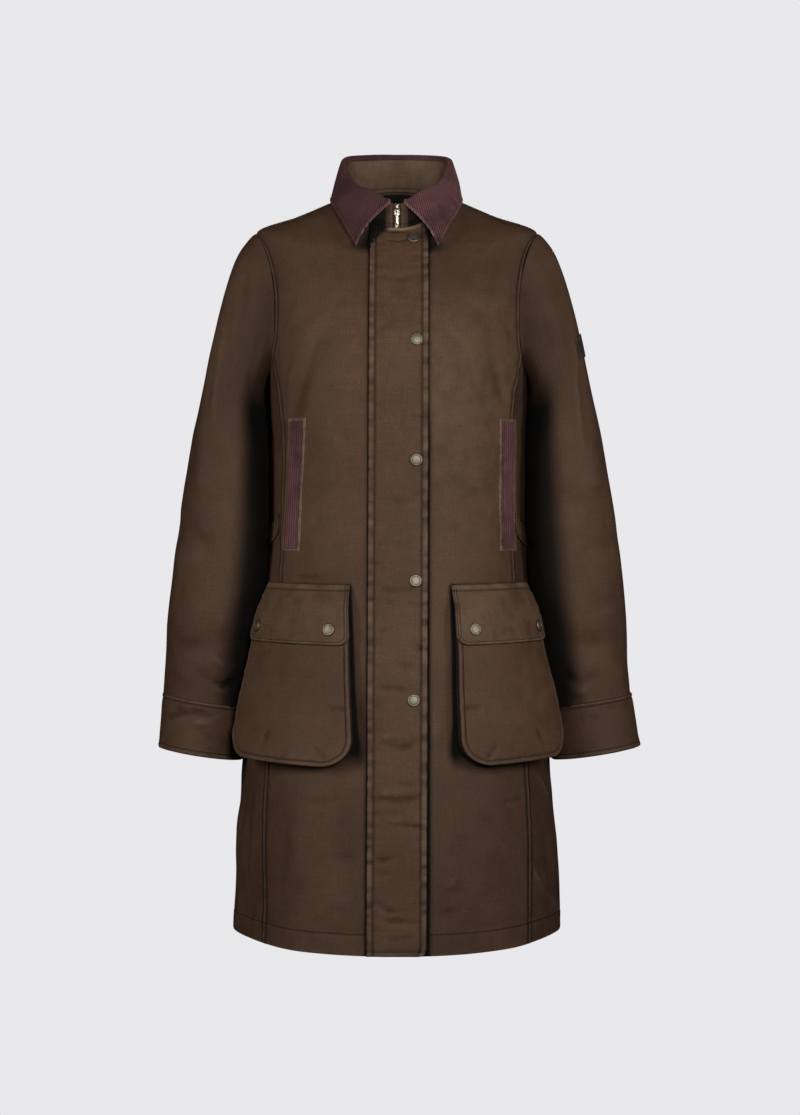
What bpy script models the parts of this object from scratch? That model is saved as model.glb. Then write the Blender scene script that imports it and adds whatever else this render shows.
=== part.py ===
"""A woman's long waxed-cotton jacket, hollow as worn: each cut piece is a wall of cloth.

Metres, +Z up, the front facing -Y and the wearer's left at +X. The origin is the middle of the
neck, at the height where the shoulders carry the jacket. On the body a place is a turn, the
angle from the front towards the wearer's left, and a rise, the length up the cloth from the hem.
On a sleeve it is a turn from the top of the arm towards the back, and a length from the armhole.
"""

import math

import bmesh
import bpy
import numpy as np
from mathutils import Matrix, Vector

LEFT, RIGHT = 1, -1
SIDE_NAMES = {LEFT: "left", RIGHT: "right"}

# Walls and gaps
CLOTH = 0.002
CORDUROY = 0.0022
THIN_CLOTH = 0.0011
SEAM_GAP = 0.0003
LAID_GAP = 0.0007

# Small steps that normals are measured with
TURN_STEP, LENGTH_STEP = 0.004, 0.0008

# Rings of the body, from the hem to the neck
RING_COLUMNS = ("rise", "z_front", "z_side", "z_back", "half_width",
                "y_front", "y_side", "y_back", "squareness")
RINGS = (
    (0.000, -0.916, -0.906, -0.906, 0.2020, -0.158, 0.045, 0.160, 2.30),
    (0.115, -0.800, -0.792, -0.792, 0.1985, -0.155, 0.045, 0.154, 2.30),
    (0.215, -0.700, -0.692, -0.692, 0.1920, -0.151, 0.045, 0.148, 2.25),
    (0.350, -0.562, -0.558, -0.558, 0.1770, -0.144, 0.045, 0.141, 2.20),
    (0.510, -0.400, -0.397, -0.397, 0.1615, -0.129, 0.042, 0.124, 2.20),
    (0.595, -0.314, -0.312, -0.312, 0.1615, -0.134, 0.040, 0.126, 2.25),
    (0.670, -0.238, -0.238, -0.238, 0.1640, -0.140, 0.036, 0.130, 2.30),
    (0.715, -0.192, -0.196, -0.192, 0.1660, -0.136, 0.030, 0.131, 2.30),
    (0.790, -0.124, -0.118, -0.110, 0.1700, -0.117, 0.018, 0.123, 2.10),
    (0.865, -0.078, -0.039, -0.030, 0.1760, -0.097, 0.006, 0.098, 1.85),
    (0.905, -0.058, -0.0170, 0.000, 0.1230, -0.084, 0.002, 0.080, 1.95),
    (0.945, -0.042, 0.005, 0.022, 0.0690, -0.072, 0.000, 0.062, 2.00),
)
NECK_RISE = 0.945

# The armhole, an oval in turn and rise about the side of the body
ARM_TOP, ARM_BOTTOM = 0.865, 0.680
ARM_MIDDLE, ARM_HALF = (ARM_TOP + ARM_BOTTOM) / 2, (ARM_TOP - ARM_BOTTOM) / 2
ARM_FRONT, ARM_BACK = math.radians(28), math.radians(32)
ARM_SQUARE = 2.4
SEAM_TOP = 0.715
SLEEVE_TUCK = 0.006

# Seams of the side panel: rise, turn of the front seam, turn of the back seam, in degrees
SIDE_SEAMS = (
    (0.000, 51.0, 128.0),
    (0.215, 54.5, 126.0),
    (0.450, 59.5, 122.0),
    (0.520, 61.0, 121.0),
    (0.600, 59.0, 121.0),
    (0.655, 59.5, 120.0),
    (0.715, 66.1, 117.3),
)

# Rows of the body's mesh
SIDE_ROWS = np.linspace(0.0, SEAM_TOP, 18)
ARM_ROWS = np.array([0.74, 0.765, 0.79, 0.815, 0.84, 0.855, 0.865])
SHOULDER_ROWS = np.array([0.885, 0.905, 0.925, 0.945])
BODY_ROWS = np.concatenate([SIDE_ROWS, ARM_ROWS, SHOULDER_ROWS])
FRONT_COLUMNS, SIDE_COLUMNS, BACK_COLUMNS = 9, 6, 16

# Largest folds of the body: turn and rise at each end, height out of the cloth, half-width
FOLD_COLUMNS = ("turn_a", "rise_a", "turn_b", "rise_b", "height", "reach")
BODY_FOLDS = (
    (-30, 0.735, -47, 0.650, -0.0030, 0.016),
    (40, 0.710, 49, 0.665, -0.0025, 0.015),
    (-33, 0.000, -30, 0.190, 0.0045, 0.030),
    (40, 0.000, 35, 0.170, 0.0040, 0.028),
    (-78, 0.000, -80, 0.120, 0.0045, 0.030),
    (80, 0.000, 78, 0.110, 0.0050, 0.032),
    (108, 0.000, 104, 0.300, -0.0045, 0.032),
    (-106, 0.000, -104, 0.280, -0.0045, 0.032),
    (150, 0.000, 158, 0.330, 0.0060, 0.034),
    (212, 0.000, 204, 0.310, 0.0055, 0.036),
    (103, 0.360, 103, 0.630, 0.0045, 0.026),
    (-103, 0.360, -103, 0.630, 0.0045, 0.026),
    (180, 0.000, 180, 0.240, -0.0045, 0.030),
    (150, 0.520, 172, 0.455, -0.0040, 0.020),
    (206, 0.500, 186, 0.440, -0.0035, 0.020),
)
FOLD_RADIUS = 0.165

# Sleeve rings below the armhole: drop from the neck, then inner, outer, front and back reach
TUBE_COLUMNS = ("drop", "x_inner", "x_outer", "y_front", "y_back")
TUBE = (
    (0.2550, 0.1633, 0.2460, -0.0640, 0.0680),
    (0.3100, 0.1598, 0.2570, -0.0630, 0.0670),
    (0.3750, 0.1606, 0.2680, -0.0625, 0.0640),
    (0.4400, 0.1626, 0.2772, -0.0600, 0.0620),
    (0.5000, 0.1700, 0.2838, -0.0550, 0.0630),
    (0.5600, 0.1790, 0.2883, -0.0495, 0.0645),
    (0.6232, 0.1870, 0.2925, -0.0440, 0.0660),
)
CAP_LENGTH = 0.150
TUBE_TOP, TUBE_END = TUBE[0][0], TUBE[-1][0]
SLEEVE_LENGTH = CAP_LENGTH + TUBE_END - TUBE_TOP
RING_TILT = 0.16
CAP_START_PULL, CAP_END_PULL = 0.50, 1.2
SHOULDER_SLOPE, UNDERARM_SLOPE = math.radians(22), math.radians(45)
CAP_ROWS, ARM_ROWS_BELOW = 5, 9
SLEEVE_SEAM_RISE = 0.74
SLEEVE_FOLDS = (
    (-22, 0.035, -55, 0.250, 0.0030, 0.013),
    (-100, 0.265, -40, 0.300, -0.0035, 0.016),
    (-70, 0.330, -20, 0.318, -0.0030, 0.015),
    (100, 0.255, 40, 0.285, -0.0030, 0.016),
    (-110, 0.440, -30, 0.465, -0.0030, 0.014),
    (120, 0.430, 60, 0.400, -0.0030, 0.016),
)
SLEEVE_RADIUS = 0.055

# Cuffs: drop at the middle of the top and mouth, then reach as for the sleeve
CUFFS = {
    RIGHT: ((0.6237, 0.1880, 0.2935, -0.0450, 0.0670), (0.6875, 0.1945, 0.2985, -0.0480, 0.0700)),
    LEFT: ((0.6237, 0.1880, 0.2940, -0.0450, 0.0670), (0.6865, 0.1945, 0.3035, -0.0480, 0.0700)),
}
CUFF_COLUMNS, CUFF_ROWS = 24, 4

# Collar: the fold at the top of the stand and the outer edge of the fall, by turn
COLLAR_COLUMNS = ("turn", "fold_x", "fold_y", "fold_z", "edge_x", "edge_y", "edge_z")
COLLAR = (
    (3, 0.0036, -0.0685, -0.0105, 0.0490, -0.1000, -0.0665),
    (6, 0.0078, -0.0680, -0.0096, 0.0495, -0.1000, -0.0660),
    (32, 0.0300, -0.0605, 0.0030, 0.0655, -0.0760, -0.0370),
    (55, 0.0515, -0.0400, 0.0150, 0.0775, -0.0460, -0.0140),
    (75, 0.0625, -0.0160, 0.0320, 0.0822, -0.0180, -0.0010),
    (95, 0.0668, 0.0080, 0.0495, 0.0828, 0.0120, 0.0040),
    (125, 0.0620, 0.0360, 0.0590, 0.0750, 0.0500, 0.0070),
    (150, 0.0368, 0.0525, 0.0630, 0.0450, 0.0750, 0.0080),
    (180, 0.0000, 0.0580, 0.0645, 0.0000, 0.0840, 0.0080),
)
STAND_TURN, FALL_TURN = 3.0, 6.0
STAND_COLUMNS, STAND_ROWS = 28, 4
FALL_COLUMNS, FALL_ROWS = 28, 5
FALL_BULGE = 0.0015
ROLL = ((0.0042, 0.0), (0.0026, 0.0030), (-0.0012, 0.0036))

# Storm flap, zip and the places of the snaps
CENTRE_HALF = 0.0036
ZIP_HALF = 0.0033
ZIP_CLOTH = 0.0015
ZIP_SINK = -0.0002
ZIP_BOTTOM = SIDE_ROWS[1]
FLAP_EDGES = ((0.000, -0.0365, 0.0355), (0.945, -0.0330, 0.0390))
FLAP_TOP = 0.9425
FLAP_COLUMNS = 5
FLAP_CORNER_CUT = 0.0048
SNAP_RADIUS = 0.00775
SNAP_PROFILE = ((0.0, 0.0030), (0.0052, 0.0025), (0.0064, 0.0016), (SNAP_RADIUS, 0.0011), (SNAP_RADIUS, 0.0))
SNAP_STEPS = 12
FLAP_SNAPS = ((0.0200, -0.0575), (0.0235, -0.1830), (0.0230, -0.3260), (0.0222, -0.4710), (0.0197, -0.6130))
SLIDER_SIZE = (0.0068, 0.0026, 0.0095)
SLIDER_MIDDLE_Z = -0.0210
SLIDER_GAP = 0.0004
LUG_OUTER, LUG_INNER, LUG_DEPTH = 0.0028, 0.0017, 0.0034
LUG_TAPER = 0.45
STAND_LEAN = math.radians(-6.7)
PULL_EYE, PULL_THICK, PULL_WIDTH, PULL_LENGTH = 0.0011, 0.0009, 0.0026, 0.0155
PULL_AXIS_Y, PULL_AXIS_Z = -0.0748, -0.0205

# Hand-warmer welts: side, x of the inner and outer edge at the top, then at the bottom
WELT_TOP, WELT_BOTTOM = -0.2780, -0.4325
WELTS = ((RIGHT, 0.1135, 0.1304, 0.1220, 0.1370), (LEFT, 0.1275, 0.1427, 0.1287, 0.1443))
WELT_COLUMNS, WELT_ROWS = 2, 6

# Waist straps on the side panels
STRAP_TOP, STRAP_BOTTOM = -0.3840, -0.4080
STRAP_ENDS = (0.03, 0.97)

# Bellows pockets: side, x of the inner edge at top and bottom, turn of the outer edge
POCKETS = ((RIGHT, 0.0570, 0.0490, 66.0), (LEFT, 0.0660, 0.0712, 68.0))
POCKET_TURN = 40.0
BAG_TOP, BAG_BOTTOM = -0.5050, -0.6905
BAG_CORNER = 0.034
BAG_COLUMNS, BAG_ROWS = 8, 7
BAG_STAND_TOP, BAG_STAND_INNER, BAG_STAND_OUTER = 0.0095, 0.0170, 0.0315
BAG_BEND, POCKET_FLAP_BEND = 0.80, 0.85
GUSSET_INSET, GUSSET_FOLD, GUSSET_GAP = 0.0022, 0.0050, 0.0009
POCKET_FLAP_TOP, POCKET_FLAP_BOTTOM = -0.4746, -0.5480
POCKET_FLAP_ROWS = (-0.4746, -0.4860, -0.4960, -0.5060, -0.5260, -0.5480)
POCKET_FLAP_COVER, POCKET_FLAP_OVERHANG = 0.0030, 0.0015
POCKET_FLAP_CORNER = 0.012
POCKET_SNAPS = (0.15, 0.90)
POCKET_SNAP_Z = -0.5300

# Back-neck lining: rows of the back it lies behind, and the columns it spans
LINING_ROWS = np.concatenate([ARM_ROWS[-1:], SHOULDER_ROWS])
LINING_FROM, LINING_TO = 4, 12

# Plain patch on the wearer's left sleeve: turns and lengths along the sleeve
PATCH_TURNS, PATCH_LENGTHS = (-47.0, 14.0), (0.1025, 0.1185)

# Colours (linear), roughness and metallic value
FINISHES = {
    "waxed_cotton": ((0.060, 0.036, 0.023), 0.62, 0.0),
    "corduroy": ((0.055, 0.027, 0.028), 0.85, 0.0),
    "dark_lining": ((0.008, 0.008, 0.011), 0.70, 0.0),
    "antique_brass": ((0.190, 0.150, 0.110), 0.38, 1.0),
    "zip_tape": ((0.030, 0.020, 0.014), 0.80, 0.0),
    "zip_metal": ((0.560, 0.500, 0.400), 0.30, 1.0),
    "patch": ((0.020, 0.014, 0.011), 0.75, 0.0),
}


def smooth(table, at):
    """Values of a table's later columns at a value of its first one, on a curve with no overshoot."""
    table = np.asarray(table, float)
    knots, values = table[:, 0], table[:, 1:]
    at = np.asarray(at, float)
    widths = np.diff(knots)[:, None]
    rates = np.diff(values, axis=0) / widths
    slopes = np.empty_like(values)
    slopes[0], slopes[-1] = rates[0], rates[-1]
    before, after = rates[:-1], rates[1:]
    weight_a, weight_b = 2 * widths[1:] + widths[:-1], widths[1:] + 2 * widths[:-1]
    same_way = before * after > 0
    with np.errstate(divide="ignore", invalid="ignore"):
        mean = (weight_a + weight_b) / (weight_a / before + weight_b / after)
    slopes[1:-1] = np.where(same_way, mean, 0.0)
    i = np.clip(np.searchsorted(knots, at) - 1, 0, len(knots) - 2)
    width = widths[i, 0][..., None]
    t = (at - knots[i])[..., None] / width
    return (values[i] * (1 + 2 * t) * (1 - t) ** 2 + values[i + 1] * t * t * (3 - 2 * t)
            + slopes[i] * width * t * (1 - t) ** 2 + slopes[i + 1] * width * t * t * (t - 1))


def signed_power(value, power):
    return np.sign(value) * np.abs(value) ** power


def unit(vectors):
    return vectors / np.linalg.norm(vectors, axis=-1, keepdims=True)


def body_form(turn, rise):
    """Point of the body's plain form."""
    turn, rise = np.broadcast_arrays(np.asarray(turn, float), np.asarray(rise, float))
    z_front, z_side, z_back, half, y_front, y_side, y_back, square = np.moveaxis(smooth(RINGS, rise), -1, 0)
    sine, cosine = np.sin(turn), np.cos(turn)
    power = 2.0 / square
    reach = np.where(cosine > 0, y_front - y_side, y_back - y_side)
    x = half * signed_power(sine, power)
    y = y_side + reach * np.abs(cosine) ** power
    z = z_side + np.where(cosine > 0, z_front - z_side, z_back - z_side) * cosine ** 2
    return np.stack([x, y, z], axis=-1)


def fold_height(folds, radius, turn, length):
    """Height of the folds out of the cloth at places given by turn and length."""
    u = turn * radius
    total = np.zeros(np.broadcast(u, length).shape)
    for turn_a, length_a, turn_b, length_b, height, reach in folds:
        for lap in (-2 * math.pi, 0.0, 2 * math.pi):
            ua = (math.radians(turn_a) + lap) * radius
            ub = (math.radians(turn_b) + lap) * radius
            du, dl = ub - ua, length_b - length_a
            t = np.clip(((u - ua) * du + (length - length_a) * dl) / (du * du + dl * dl), 0, 1)
            far = (u - ua - t * du) ** 2 + (length - length_a - t * dl) ** 2
            total = total + height * np.exp(-far / reach ** 2)
    return total


def normals_of(form, turn, length):
    """Unit normals of a form by small differences, facing along turn x length."""
    across = form(turn + TURN_STEP, length) - form(turn - TURN_STEP, length)
    along = form(turn, length + LENGTH_STEP) - form(turn, length - LENGTH_STEP)
    return unit(np.cross(across, along))


def on_body(turn, rise, out=0.0):
    """Point of the draped body, moved out of the cloth."""
    turn, rise = np.broadcast_arrays(np.asarray(turn, float), np.asarray(rise, float))
    lift = fold_height(BODY_FOLDS, FOLD_RADIUS, turn, rise) + out
    return body_form(turn, rise) + normals_of(body_form, turn, rise) * lift[..., None]


def turn_at(x, rise):
    """Turn where the front of the body has a given x."""
    half, square = smooth(RINGS, rise)[..., 3], smooth(RINGS, rise)[..., 7]
    return np.arcsin(np.clip(signed_power(np.asarray(x) / half, square / 2), -1, 1))


def rise_at(z, turn):
    """Rise where the body has a given height, below the shoulders."""
    rises = np.linspace(0.0, FLAP_TOP, 400)
    return np.interp(z, body_form(turn, rises)[:, 2], rises)


def gap_turn(turn, rise):
    """Turn that half a seam's gap takes at a place on the body."""
    way = body_form(turn + TURN_STEP, rise) - body_form(turn - TURN_STEP, rise)
    return SEAM_GAP * TURN_STEP / np.linalg.norm(way, axis=-1)


def armhole_turn(rise, reach):
    """Turn from the side of the body to the armhole at a rise."""
    share = np.clip(np.abs(rise - ARM_MIDDLE) / ARM_HALF, 0, 1)
    return reach * (1 - share ** ARM_SQUARE) ** (1 / ARM_SQUARE)


def side_seam(rise, back=False):
    return np.radians(smooth(SIDE_SEAMS, rise)[..., 1 if back else 0])


def panel_edge(rise, back=False):
    """Turn of the edge of a front or back: side seam, then armhole, then shoulder seam."""
    way = 1 if back else -1
    arm = math.pi / 2 + way * armhole_turn(rise, ARM_BACK if back else ARM_FRONT)
    edge = np.where(rise < SEAM_TOP + 1e-6, side_seam(rise, back), arm)
    return edge + way * gap_turn(edge, rise)


def armhole(turn):
    """Body turn and rise of the armhole at a sleeve turn, a little inside the cut edge."""
    power = 2 / ARM_SQUARE
    reach = np.where(np.sin(turn) < 0, ARM_FRONT, ARM_BACK)
    inside = 1 - SLEEVE_TUCK
    body_turn = math.pi / 2 + reach * signed_power(np.sin(turn), power) * inside
    return body_turn, ARM_MIDDLE + ARM_HALF * signed_power(np.cos(turn), power) * inside


def tube(turn, rows):
    """Point of an oval ring with the given drop, reach in x and reach in y."""
    drop, x_inner, x_outer, y_front, y_back = rows
    across = (x_outer - x_inner) / 2 * np.cos(turn)
    x = (x_outer + x_inner) / 2 + across
    y = (y_front + y_back) / 2 + (y_back - y_front) / 2 * np.sin(turn)
    return np.stack(np.broadcast_arrays(x, y, -drop + RING_TILT * across), axis=-1)


def tube_at(turn, drop):
    return tube(turn, (drop, *np.moveaxis(smooth(TUBE, drop), -1, 0)))


def sleeve_form(turn, length):
    """Point of the wearer's left sleeve: a cap from the armhole, then rings down the arm."""
    turn, length = np.broadcast_arrays(np.asarray(turn, float), np.asarray(length, float))
    start = body_form(*armhole(turn))
    end = tube_at(turn, np.full(turn.shape, TUBE_TOP))
    below = tube_at(turn, np.full(turn.shape, TUBE_TOP + 0.004))
    span = np.linalg.norm(end - start, axis=-1, keepdims=True)
    slope = SHOULDER_SLOPE + (UNDERARM_SLOPE - SHOULDER_SLOPE) * (1 - np.cos(turn)) / 2
    leave = np.stack([np.cos(slope), np.zeros_like(slope), -np.sin(slope)], axis=-1) * span * CAP_START_PULL
    arrive = unit(below - end) * span * CAP_END_PULL
    t = np.clip(length / CAP_LENGTH, -0.05, 1)[..., None]
    cap = (start * (1 + 2 * t) * (1 - t) ** 2 + end * t * t * (3 - 2 * t)
           + leave * t * (1 - t) ** 2 + arrive * t * t * (t - 1))
    arm = tube_at(turn, TUBE_TOP + np.maximum(length - CAP_LENGTH, 0))
    return np.where((length < CAP_LENGTH)[..., None], cap, arm)


def on_sleeve(turn, length, out=0.0):
    """Point of the draped left sleeve, moved out of the cloth."""
    turn, length = np.broadcast_arrays(np.asarray(turn, float), np.asarray(length, float))
    lift = fold_height(SLEEVE_FOLDS, SLEEVE_RADIUS, turn, length) + out
    return sleeve_form(turn, length) - normals_of(sleeve_form, turn, length) * lift[..., None]


def mirrored(points, side):
    return points * np.array([side, 1.0, 1.0])


def finish(name):
    """The named finish as a material."""
    made = bpy.data.materials.get(name)
    if made is None:
        colour, roughness, metallic = FINISHES[name]
        made = bpy.data.materials.new(name)
        made.use_nodes = True
        shader = made.node_tree.nodes["Principled BSDF"]
        shader.inputs["Base Color"].default_value = (*colour, 1.0)
        shader.inputs["Roughness"].default_value = roughness
        shader.inputs["Metallic"].default_value = metallic
    return made


def add_object(name, mesh, material):
    mesh.materials.append(finish(material))
    mesh.shade_smooth()
    mesh.set_sharp_from_angle(angle=math.radians(40))
    made = bpy.data.objects.new(name, mesh)
    bpy.context.scene.collection.objects.link(made)
    return made


def grid_faces(rows, columns, wrap=False):
    """Triangles of a grid of points, counted row by row, with the same diagonal in every cell."""
    faces = []
    for row in range(rows - 1):
        for column in range(columns if wrap else columns - 1):
            after = (column + 1) % columns
            here, above = row * columns, (row + 1) * columns
            faces.append((here + column, here + after, above + after))
            faces.append((here + column, above + after, above + column))
    return faces


def cloth_mesh(name, points, faces, material):
    mesh = bpy.data.meshes.new(name)
    mesh.from_pydata(points.reshape(-1, 3).tolist(), [], faces)
    mesh.update()
    return add_object(name, mesh, material)


def strip(name, grid, thickness=CLOTH, material="waxed_cotton", wrap=False, flip=False):
    """A wall whose outer face is a grid of points, thickened inwards by a Solidify modifier."""
    if flip:
        grid = grid[:, ::-1]
    made = cloth_mesh(name, grid, grid_faces(*grid.shape[:2], wrap), material)
    wall = made.modifiers.new("wall", "SOLIDIFY")
    wall.thickness = thickness
    wall.offset = -1.0


def wall(name, outer, inner, material="waxed_cotton", flip=False):
    """A closed wall between two grids of points of the same shape."""
    if flip:
        outer, inner = outer[:, ::-1], inner[:, ::-1]
    rows, columns = outer.shape[:2]
    count = rows * columns
    faces = grid_faces(rows, columns)
    faces += [tuple(index + count for index in reversed(face)) for face in grid_faces(rows, columns)]
    rim = [row * columns for row in range(rows)] + [count - columns + c for c in range(1, columns)]
    rim += [row * columns + columns - 1 for row in range(rows - 2, -1, -1)] + list(range(columns - 2, 0, -1))
    for here, there in zip(rim, rim[1:] + rim[:1]):
        faces.append((here, there, there + count, here + count))
    cloth_mesh(name, np.stack([outer, inner]), faces, material)


def panel(name, form, turn, length, out=0.0, thickness=CLOTH, material="waxed_cotton", side=LEFT, flip=False):
    """A wall cut from a form: its outer face at a distance out of the cloth, its inner face a thickness below.

    Both faces follow the form's own normals, so panels that meet at a seam keep their gap through the wall."""
    outer, inner = (mirrored(form(turn, length, level), side) for level in (out, out - thickness))
    wall(name, outer, inner, material, flip)


def spread(start, end, count):
    """A grid of turns: each row goes in even steps from its start to its end."""
    share = np.linspace(0, 1, count + 1)[None, :]
    return start[:, None] * (1 - share) + end[:, None] * share


def front(side):
    rise = BODY_ROWS
    inner, outer = turn_at(CENTRE_HALF, rise), panel_edge(rise)
    turn = spread(inner, outer, FRONT_COLUMNS) * side
    if side == RIGHT:
        turn = turn[:, ::-1]
    panel("front_" + SIDE_NAMES[side], on_body, turn, rise[:, None])


def side_panel_places(rows, shares):
    """Turns and rises on the left side panel, whose rows dip to the armhole in the middle."""
    front_edge = side_seam(rows) + gap_turn(side_seam(rows), rows)
    back_edge = side_seam(rows, True) - gap_turn(side_seam(rows, True), rows)
    turn = front_edge[:, None] * (1 - shares) + back_edge[:, None] * shares
    top_front, top_back = side_seam(np.array(SEAM_TOP)), side_seam(np.array(SEAM_TOP), True)
    top_turn = top_front * (1 - shares) + top_back * shares
    from_side = top_turn - math.pi / 2
    reach = np.where(from_side < 0, ARM_FRONT, ARM_BACK)
    dip = (1 - np.clip(np.abs(from_side) / reach, 0, 1) ** ARM_SQUARE) ** (1 / ARM_SQUARE)
    top = ARM_MIDDLE - ARM_HALF * dip
    return turn, rows[:, None] * (top / SEAM_TOP)[None, :]


def side_panel(side):
    turn, rise = side_panel_places(SIDE_ROWS, np.linspace(0, 1, SIDE_COLUMNS + 1))
    if side == RIGHT:
        turn, rise = -turn[:, ::-1], rise[:, ::-1]
    panel("side_" + SIDE_NAMES[side], on_body, turn, rise)


def back():
    edge = panel_edge(BODY_ROWS, back=True)
    turn = spread(edge, 2 * math.pi - edge, BACK_COLUMNS)
    panel("back", on_body, turn, BODY_ROWS[:, None])


def sleeve_turns():
    """Sleeve turns at the corners of the body's panels round the armhole, from the underarm by the front."""
    share = (np.concatenate([[SEAM_TOP], ARM_ROWS]) - ARM_MIDDLE) / ARM_HALF
    front_turns = -np.arccos(np.clip(signed_power(share, ARM_SQUARE / 2), -1, 1))
    shares = np.linspace(0, 1, SIDE_COLUMNS + 1)[1:-1]
    top_front, top_back = side_seam(np.array(SEAM_TOP)), side_seam(np.array(SEAM_TOP), True)
    from_side = top_front * (1 - shares) + top_back * shares - math.pi / 2
    reach = np.where(from_side < 0, ARM_FRONT, ARM_BACK)
    under = np.arcsin(np.clip(signed_power(from_side / reach, ARM_SQUARE / 2), -1, 1))
    return front_turns, math.pi - under


def sleeve(side):
    """The top piece from front seam over the arm to back seam, and the under piece below it."""
    front_turns, under_turns = sleeve_turns()
    seam = 1 + int(np.argmin(np.abs(ARM_ROWS - SLEEVE_SEAM_RISE)))
    top_front, low_front = front_turns[seam:], front_turns[:seam + 1]
    gap = SEAM_GAP / SLEEVE_RADIUS
    top_turns = np.concatenate([top_front, -top_front[-2::-1]])
    low_turns = np.concatenate([-low_front[::-1], under_turns[::-1], 2 * math.pi + low_front])
    lengths = np.concatenate([np.linspace(0, CAP_LENGTH, CAP_ROWS + 1)[:-1],
                              np.linspace(CAP_LENGTH, SLEEVE_LENGTH, ARM_ROWS_BELOW + 1)])
    for name, turns in (("sleeve_top_", top_turns), ("sleeve_under_", low_turns)):
        turns = turns.copy()
        turns[0] += gap
        turns[-1] -= gap
        panel(name + SIDE_NAMES[side], on_sleeve, turns[None, :], lengths[:, None], side=side, flip=side == LEFT)


def cuff(side):
    turns = np.linspace(-math.pi, math.pi, CUFF_COLUMNS, endpoint=False)
    top, mouth = (np.array(row) for row in CUFFS[side])
    shares = np.linspace(0, 1, CUFF_ROWS)
    points = np.stack([tube(turns, top * (1 - share) + mouth * share) for share in shares])
    strip("cuff_" + SIDE_NAMES[side], mirrored(points, side), wrap=True, flip=side == LEFT)


def collar_lines(turns):
    """The fold and the outer edge of the collar at turns in degrees, and the way out from the neck."""
    half = np.where(turns > 180, 360 - turns, turns)
    values = smooth(COLLAR, half)
    side = np.where(turns > 180, -1.0, 1.0)[:, None] * np.array([1.0, 0.0, 0.0]) + np.array([0.0, 1.0, 1.0])
    fold, edge = values[:, :3] * side, values[:, 3:] * side
    outward = unit(fold * np.array([1.0, 1.0, 0.0]))
    return fold, edge, outward


def collar_stand():
    turns = np.linspace(STAND_TURN, 360 - STAND_TURN, STAND_COLUMNS + 1)
    fold, _, _ = collar_lines(turns)
    foot = body_form(np.radians(turns), NECK_RISE) + np.array([0.0, 0.0, SEAM_GAP])
    shares = np.linspace(0, 1, STAND_ROWS)[:, None, None]
    strip("collar_stand", foot * (1 - shares) + fold * shares, thickness=CORDUROY)


def collar_fall():
    turns = np.linspace(FALL_TURN, 360 - FALL_TURN, FALL_COLUMNS + 1)
    fold, edge, outward = collar_lines(turns)
    up = np.array([0.0, 0.0, 1.0])
    rolled = [fold + outward * out + up * high for out, high in ROLL]
    rows = []
    for share in np.linspace(0, 1, FALL_ROWS + 1)[:-1]:
        bulge = FALL_BULGE * math.sin(math.pi * share)
        rows.append(edge * (1 - share) + rolled[0] * share + outward * bulge)
    strip("collar_fall", np.stack(rows + rolled), thickness=CORDUROY, material="corduroy")


def neck_lining():
    edge = panel_edge(LINING_ROWS, back=True)
    turn = spread(edge, 2 * math.pi - edge, BACK_COLUMNS)[:, LINING_FROM:LINING_TO + 1]
    panel("neck_lining", on_body, turn, LINING_ROWS[:, None], -CLOTH - LAID_GAP, THIN_CLOTH, "dark_lining")


def storm_flap():
    """A strip over the zip from the hem to the neck, its free lower corner rounded."""
    rows = np.minimum(BODY_ROWS, FLAP_TOP)
    edges = smooth(FLAP_EDGES, rows)
    rise = np.repeat(rows[:, None], FLAP_COLUMNS + 1, axis=1)
    shares = np.linspace(0, 1, FLAP_COLUMNS + 1)
    x = edges[:, :1] * (1 - shares) + edges[:, 1:] * shares
    rise[0, -1] += FLAP_CORNER_CUT
    x[0, -1] -= FLAP_CORNER_CUT
    panel("storm_flap", on_body, turn_at(x, rise), rise, LAID_GAP + CLOTH)


def zip_strip():
    """Tape and chain in the slit between the fronts, up through the collar stand."""
    rise = BODY_ROWS[BODY_ROWS >= ZIP_BOTTOM - 1e-9][:, None]
    x = np.array([-ZIP_HALF, 0.0, ZIP_HALF])[None, :]
    body = on_body(turn_at(x, rise), rise, ZIP_SINK)
    fold, _, _ = collar_lines(np.array([STAND_TURN]))
    top = np.stack([np.array([value, fold[0, 1], fold[0, 2]]) for value in x[0]])
    shares = np.linspace(0, 1, STAND_ROWS)[1:, None, None]
    strip("zip", np.concatenate([body, body[-1] * (1 - shares) + top * shares]),
          thickness=ZIP_CLOTH, material="zip_tape")


def prism(name, outline, axis_from, axis_to, material):
    """A solid with an outline in its first two axes, pulled along the third."""
    shape = bmesh.new()
    face = shape.faces.new([shape.verts.new((*point, axis_from)) for point in outline])
    pulled = bmesh.ops.extrude_face_region(shape, geom=[face])
    moved = [v for v in pulled["geom"] if isinstance(v, bmesh.types.BMVert)]
    bmesh.ops.translate(shape, verts=moved, vec=(0, 0, axis_to - axis_from))
    bmesh.ops.recalc_face_normals(shape, faces=shape.faces)
    mesh = bpy.data.meshes.new(name)
    shape.to_mesh(mesh)
    shape.free()
    return add_object(name, mesh, material)


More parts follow.
